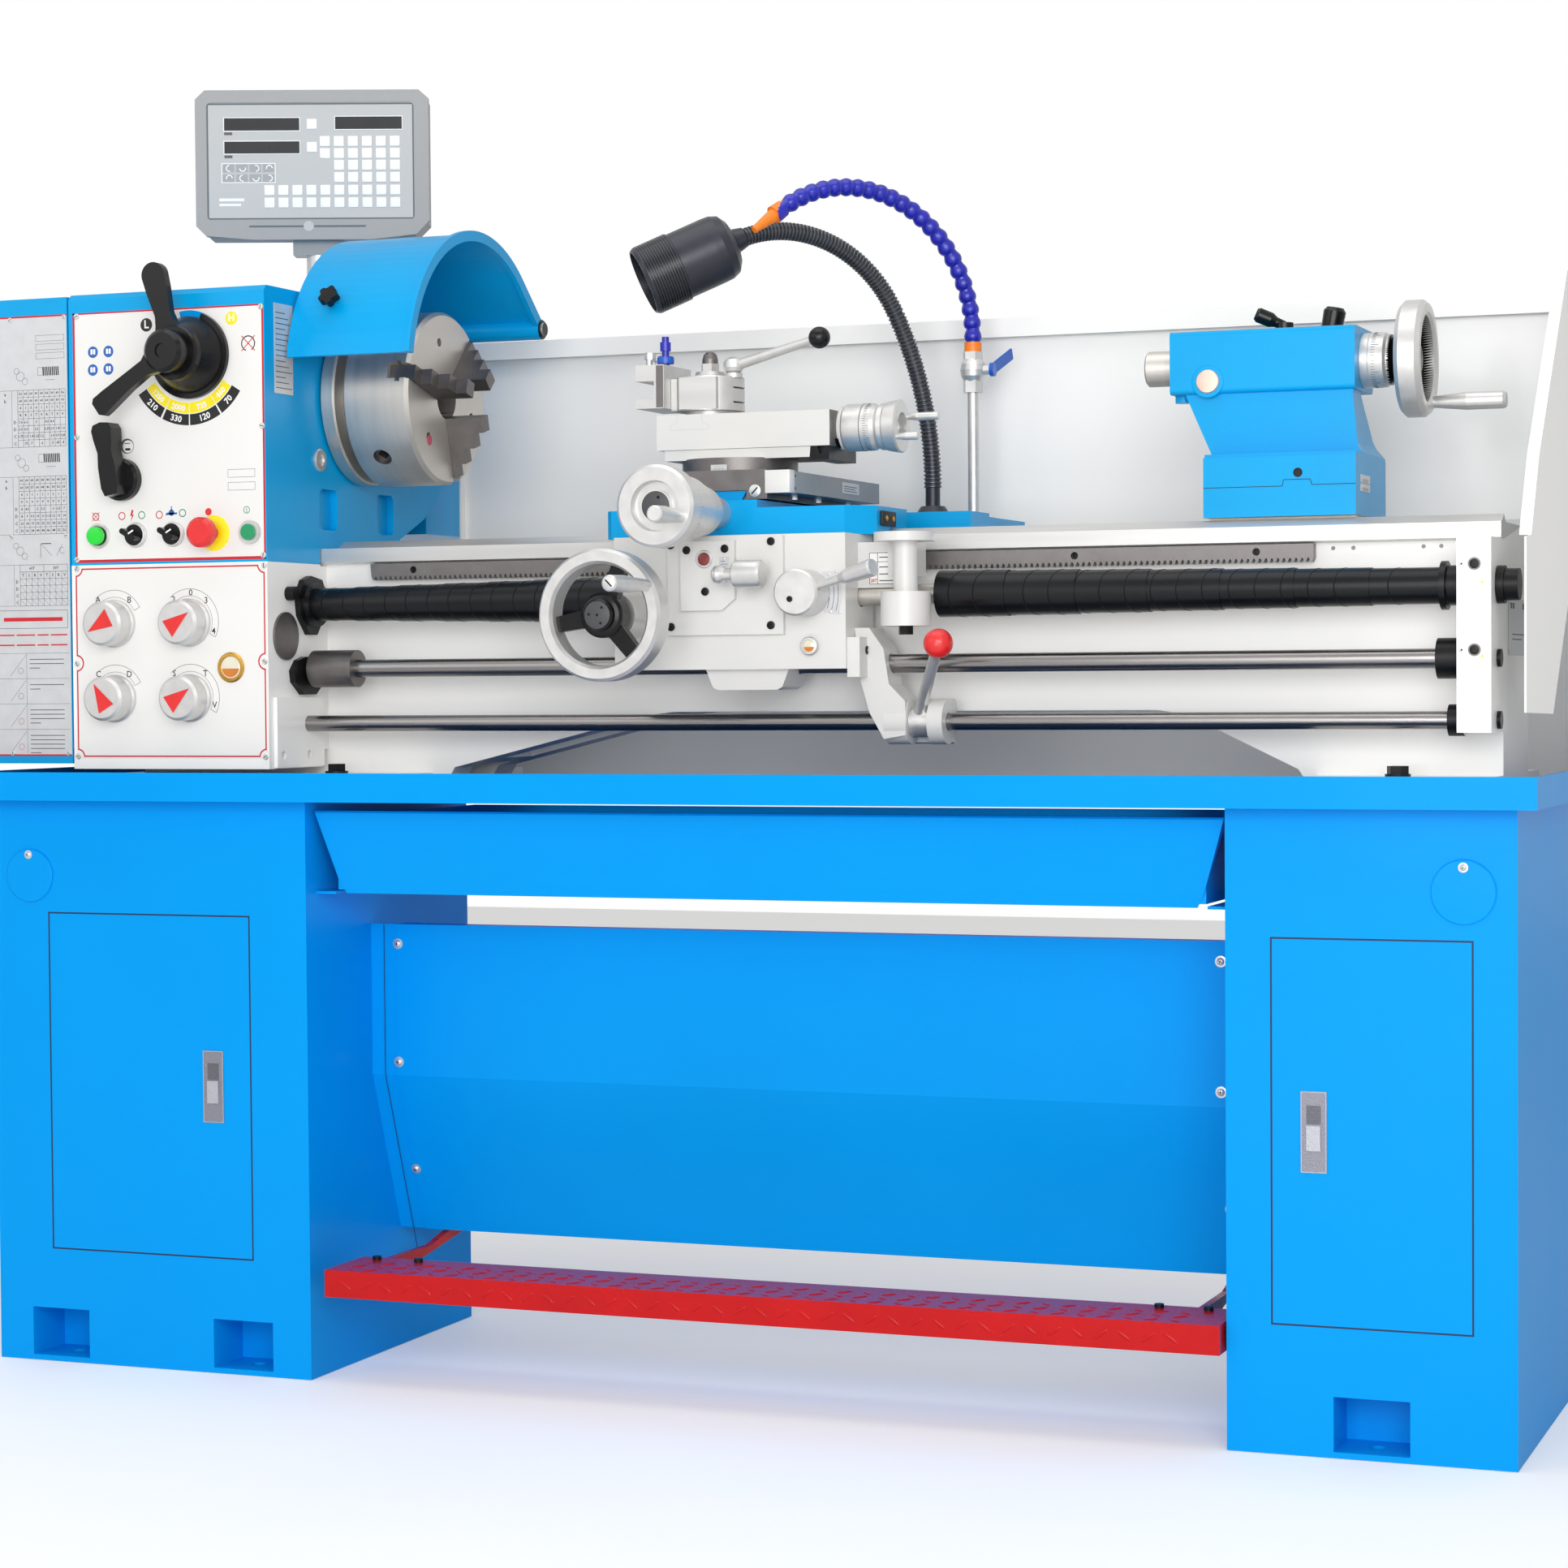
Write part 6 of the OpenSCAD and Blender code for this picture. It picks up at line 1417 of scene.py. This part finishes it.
tag = [tint(slab((-64, 64), (-29, 29), (0, 0.6), 0.3, 1), label_grey),
       strew(rivet(2.0), [at(dx, dy, 0.5) for dx in (-60, 60) for dy in (-25, 25)]),
       strew(tint(slab((-5, 5), (-3, 3), (0.5, 0.8), 0.2, 1), ink_grey),
             [at(dx, 22, 0) for dx in (-46, -32, 32, 46)])]
tag += [tint(slab((-40, reach), (y, y + 1.2), (0.5, 0.8), 0.05, 1), ink_grey)
        for reach, y in ((40, -8), (22, -13))]
settle([put(piece, 830, -3, 824, TO_RIGHT @ spin(90)) for piece in tag], "bed_end_plate", "base")
settle([strew(socket(3.6, 0.6), [at(-396 + 195 * i, -103.6, 904, TO_FRONT) for i in range(6)]),
        strew(tint(turned([(2.2, 0), (2.0, 0.4)], 16), dark_steel),
              [at(x, -97.0, 906.6, TO_FRONT) for x in (656.8, 677.7, 749.7, 767.7)])],
       "rack_screws", "base")
print("bed end ready")

# %% [markdown]
# ## Stand
# The stand's panel is fixed with bright pan-head screws on washers. A dark line down each side
# marks where its flanges meet the cabinets: the CAD sheets touch there without a gap, and a thin
# slab gives the eye the joint. The lower part of the panel slopes back, and so do its screws.

# %% Panel screws and flanges
SLOPE = Matrix.Rotation(radians(109.4), 4, "X")


def pan_head(r):
    """a domed screw with a cross slot of black bars, painted shade, on its washer"""
    washer = tint(turned([(r * 1.45, 0), (r * 1.45, r * 0.25), (r, r * 0.3)], 24), satin_steel)
    dome = [(r, r * 0.2), (r * 0.94, r * 0.6), (r * 0.6, r * 0.9), (r * 0.3, r * 0.95)]
    head = tint(turned(dome, 20), satin_steel)
    long, thin, top = (-r * 0.5, r * 0.5), (-r * 0.09, r * 0.09), (r * 0.9, r * 1.0)
    # the cross slot is two black bars: painted shade for its depth
    cross = [tint(slab(long, thin, top, 0.02, 1), black_oxide),
             tint(slab(thin, long, top, 0.02, 1), black_oxide)]
    return together([washer, head] + cross)


upright = [at(x, -100, z, TO_FRONT @ spin(30 * i)) for i, (x, z) in enumerate(
    ((-425.5, 476.5), (-425.5, 340.5), (538, 478), (538, 341)))]
sloped = [at(x, -60.0, 212, SLOPE) for x in (-425.5, 538)]
flanges = []
for x in (-443.5, 553.5):
    # a line of painted shade along each flange joint
    low = tint(slab((-0.4, 0.4), (-113, 113), (-0.2, 0.3), 0.1, 1), seam_shade)
    flanges += [tint(slab((x - 0.4, x + 0.4), (-100.3, -99.8), (326, 498), 0.1, 1), seam_shade),
                put(low, x, -62.3, 219, SLOPE)]
settle([strew(pan_head(4.2), upright + sloped)] + flanges, "panel_screws_and_flanges", "base")
print("stand panel ready")

# %% [markdown]
# Each cabinet has a round plug with a screw in it. A dark frame of painted shade stands for the gap
# round each door, and rides on the cabinet, so that it stays when the door opens. The latches are
# rough cast metal, with a rim lightened as a painted highlight and a deep panel darkened as painted
# shade, which open with the door.

# %% Cabinet plugs, door gaps and latches
plugs = [tint(turned([(r, 0), (r, 1.6), (r - 1.2, 2.6), (r * 0.5, 2.8)], 36), stand_blue)
         for r in (30.5, 32)]
put(plugs[0], -819, -250, 558, TO_FRONT)
put(plugs[1], 816, -250, 564, TO_FRONT)
places = [at(x, -252.7, z, TO_FRONT) for x, z in ((-819, 582), (816, 588))]
plug_screws = strew(pan_head(3.4), places)
settle(plugs + [plug_screws], "cabinet_plugs", "base")
for side, x0, x1, latch in (("left", -795, -533, -581), ("right", 625, 825, 668)):
    # the gap round the door is a frame of painted shade
    gap = tint(box_frame(x0 - 0.6, x1 + 0.6, 129.4, 516.6, 1.9, -250, 0.1), seam_shade)
    settle(gap, side + "_door_gap", "base")
    # the latch's rim is a painted highlight and its deep panel painted shade
    rim = tint(box_frame(latch - 12.9, latch + 12.9, 283.2, 363.8, 0.8, -251, 0.3), pewter_highlight)
    deep = tint(slab((latch - 7.2, latch + 7.2), (-251.3, -250.9), (331.5, 350), 0.1, 1),
                pewter_shade)
    settle([rim, deep], side + "_latch_rim", "door_" + side)
print("stand ready")

# %% [markdown]
# The red pedal is checker plate: short raised bars, alternately slanted left and right, stand on
# its top and front. One bar is turned, squeezed narrow, and copied to every place. With only a few
# sides each, the whole pattern stays light.

# %% Pedal checker plate
PAD_LEFT, PAD_RIGHT, BAR_PITCH = -420, 563, 24.6
bar = turned([(9.2, 0), (8.2, 0.6), (5.0, 1.0)], 10)
bar.data.transform(Matrix.Diagonal((1, 0.24, 1, 1)))
places = []
for i in range(int((PAD_RIGHT - PAD_LEFT) / BAR_PITCH)):
    x = PAD_LEFT + BAR_PITCH * (i + 0.5)
    places += [at(x, -255 + 22 * j, 127.9, spin(45 if (i + j) % 2 else -45)) for j in range(3)]
    places.append(at(x, -267.9, 112, TO_FRONT @ spin(35 if i % 2 else -35)))
settle(tint(strew(bar, places), pedal_red), "pedal_checker", "pedal")
print(len(places), "bars on the pedal")

# %% [markdown]
# ## Light and floor
# A machine on a pale ground is lit with large soft boxes, since small lamps would burn hard spots
# into the enamel. A wide one near the camera fills the recesses, one stands high on each side, and
# one hangs overhead.

# %% Soft boxes
def soft_box(name, place, aim, size, power):
    lamp = bpy.data.objects.new(name, bpy.data.lights.new(name, "AREA"))
    bpy.context.scene.collection.objects.link(lamp)
    lamp.data.shape = "RECTANGLE"
    lamp.data.size, lamp.data.size_y = size
    lamp.data.energy = power
    lamp.location = place
    lamp.rotation_euler = (Vector(aim) - Vector(place)).to_track_quat("-Z", "Y").to_euler()


soft_box("front box", (1.2, -4.2, 1.4), (0, 0, 0.8), (3.0, 2.2), 98)
soft_box("left box", (-2.6, -3.2, 2.4), (-0.3, 0, 0.8), (2.4, 2.0), 13)
soft_box("right box", (2.4, -3.4, 2.2), (0.3, 0, 0.8), (2.0, 2.0), 20)
soft_box("overhead box", (0, -0.6, 3.6), (0, 0, 0.8), (3.0, 2.0), 26)
print("lit with", len(bpy.data.lights), "soft boxes")

# %% [markdown]
# The world gives the rest of the light. It is white for the camera, a little less bright in
# reflections, and dimmer still where it only lights surfaces. One plain strength for all three
# would either grey the ground or wash out the shadows.

# %% World
IN_REFLECTIONS, ON_SURFACES = 0.82, 0.44
world = bpy.data.worlds.new("studio")
bpy.context.scene.world = world
world.use_nodes = True
tree = world.node_tree


def combine(operation, *values):
    node = tree.nodes.new("ShaderNodeMath")
    node.operation = operation
    for port, value in zip(node.inputs, values):
        wire(tree, port, value)
    return node.outputs["Value"]


rays = tree.nodes.new("ShaderNodeLightPath").outputs
seen = combine("MAXIMUM", rays["Is Camera Ray"], rays["Is Transmission Ray"])
gleam = combine("MULTIPLY", rays["Is Glossy Ray"], IN_REFLECTIONS)
level = combine("MAXIMUM", combine("MAXIMUM", seen, gleam), ON_SURFACES)
feed(tree, tree.nodes["Background"], Color=(1, 1, 1, 1), Strength=level)
print("world ready")

# %% [markdown]
# The floor is pale and keeps the machine's shadow. For the camera only, it glows a little, which
# lifts it toward white without lighting the underside of the machine. It is staged, so it isn't
# part of the object.

# %% Floor
FLOOR_GLOW = 0.22
pick()
bpy.ops.mesh.primitive_plane_add(size=14, location=(0, 0, -0.0005))
floor = bpy.context.object
floor.name = "floor"
pale = finish("pale floor", (244, 243, 242), 0.7, mottle=0.01, grain=2, bump=0)
floor.data.materials.append(pale)
tree = pale.node_tree
lift = feed(tree, tree.nodes.new("ShaderNodeMapRange"), To_Max=FLOOR_GLOW,
            Value=tree.nodes.new("ShaderNodeLightPath").outputs["Is Camera Ray"])
feed(tree, tree.nodes["Principled BSDF"], Emission_Color=(1, 1, 1, 1),
     Emission_Strength=lift.outputs["Result"])
print("floor ready")

# %% [markdown]
# ## Last update

# %% Finish
bpy.context.view_layer.update()
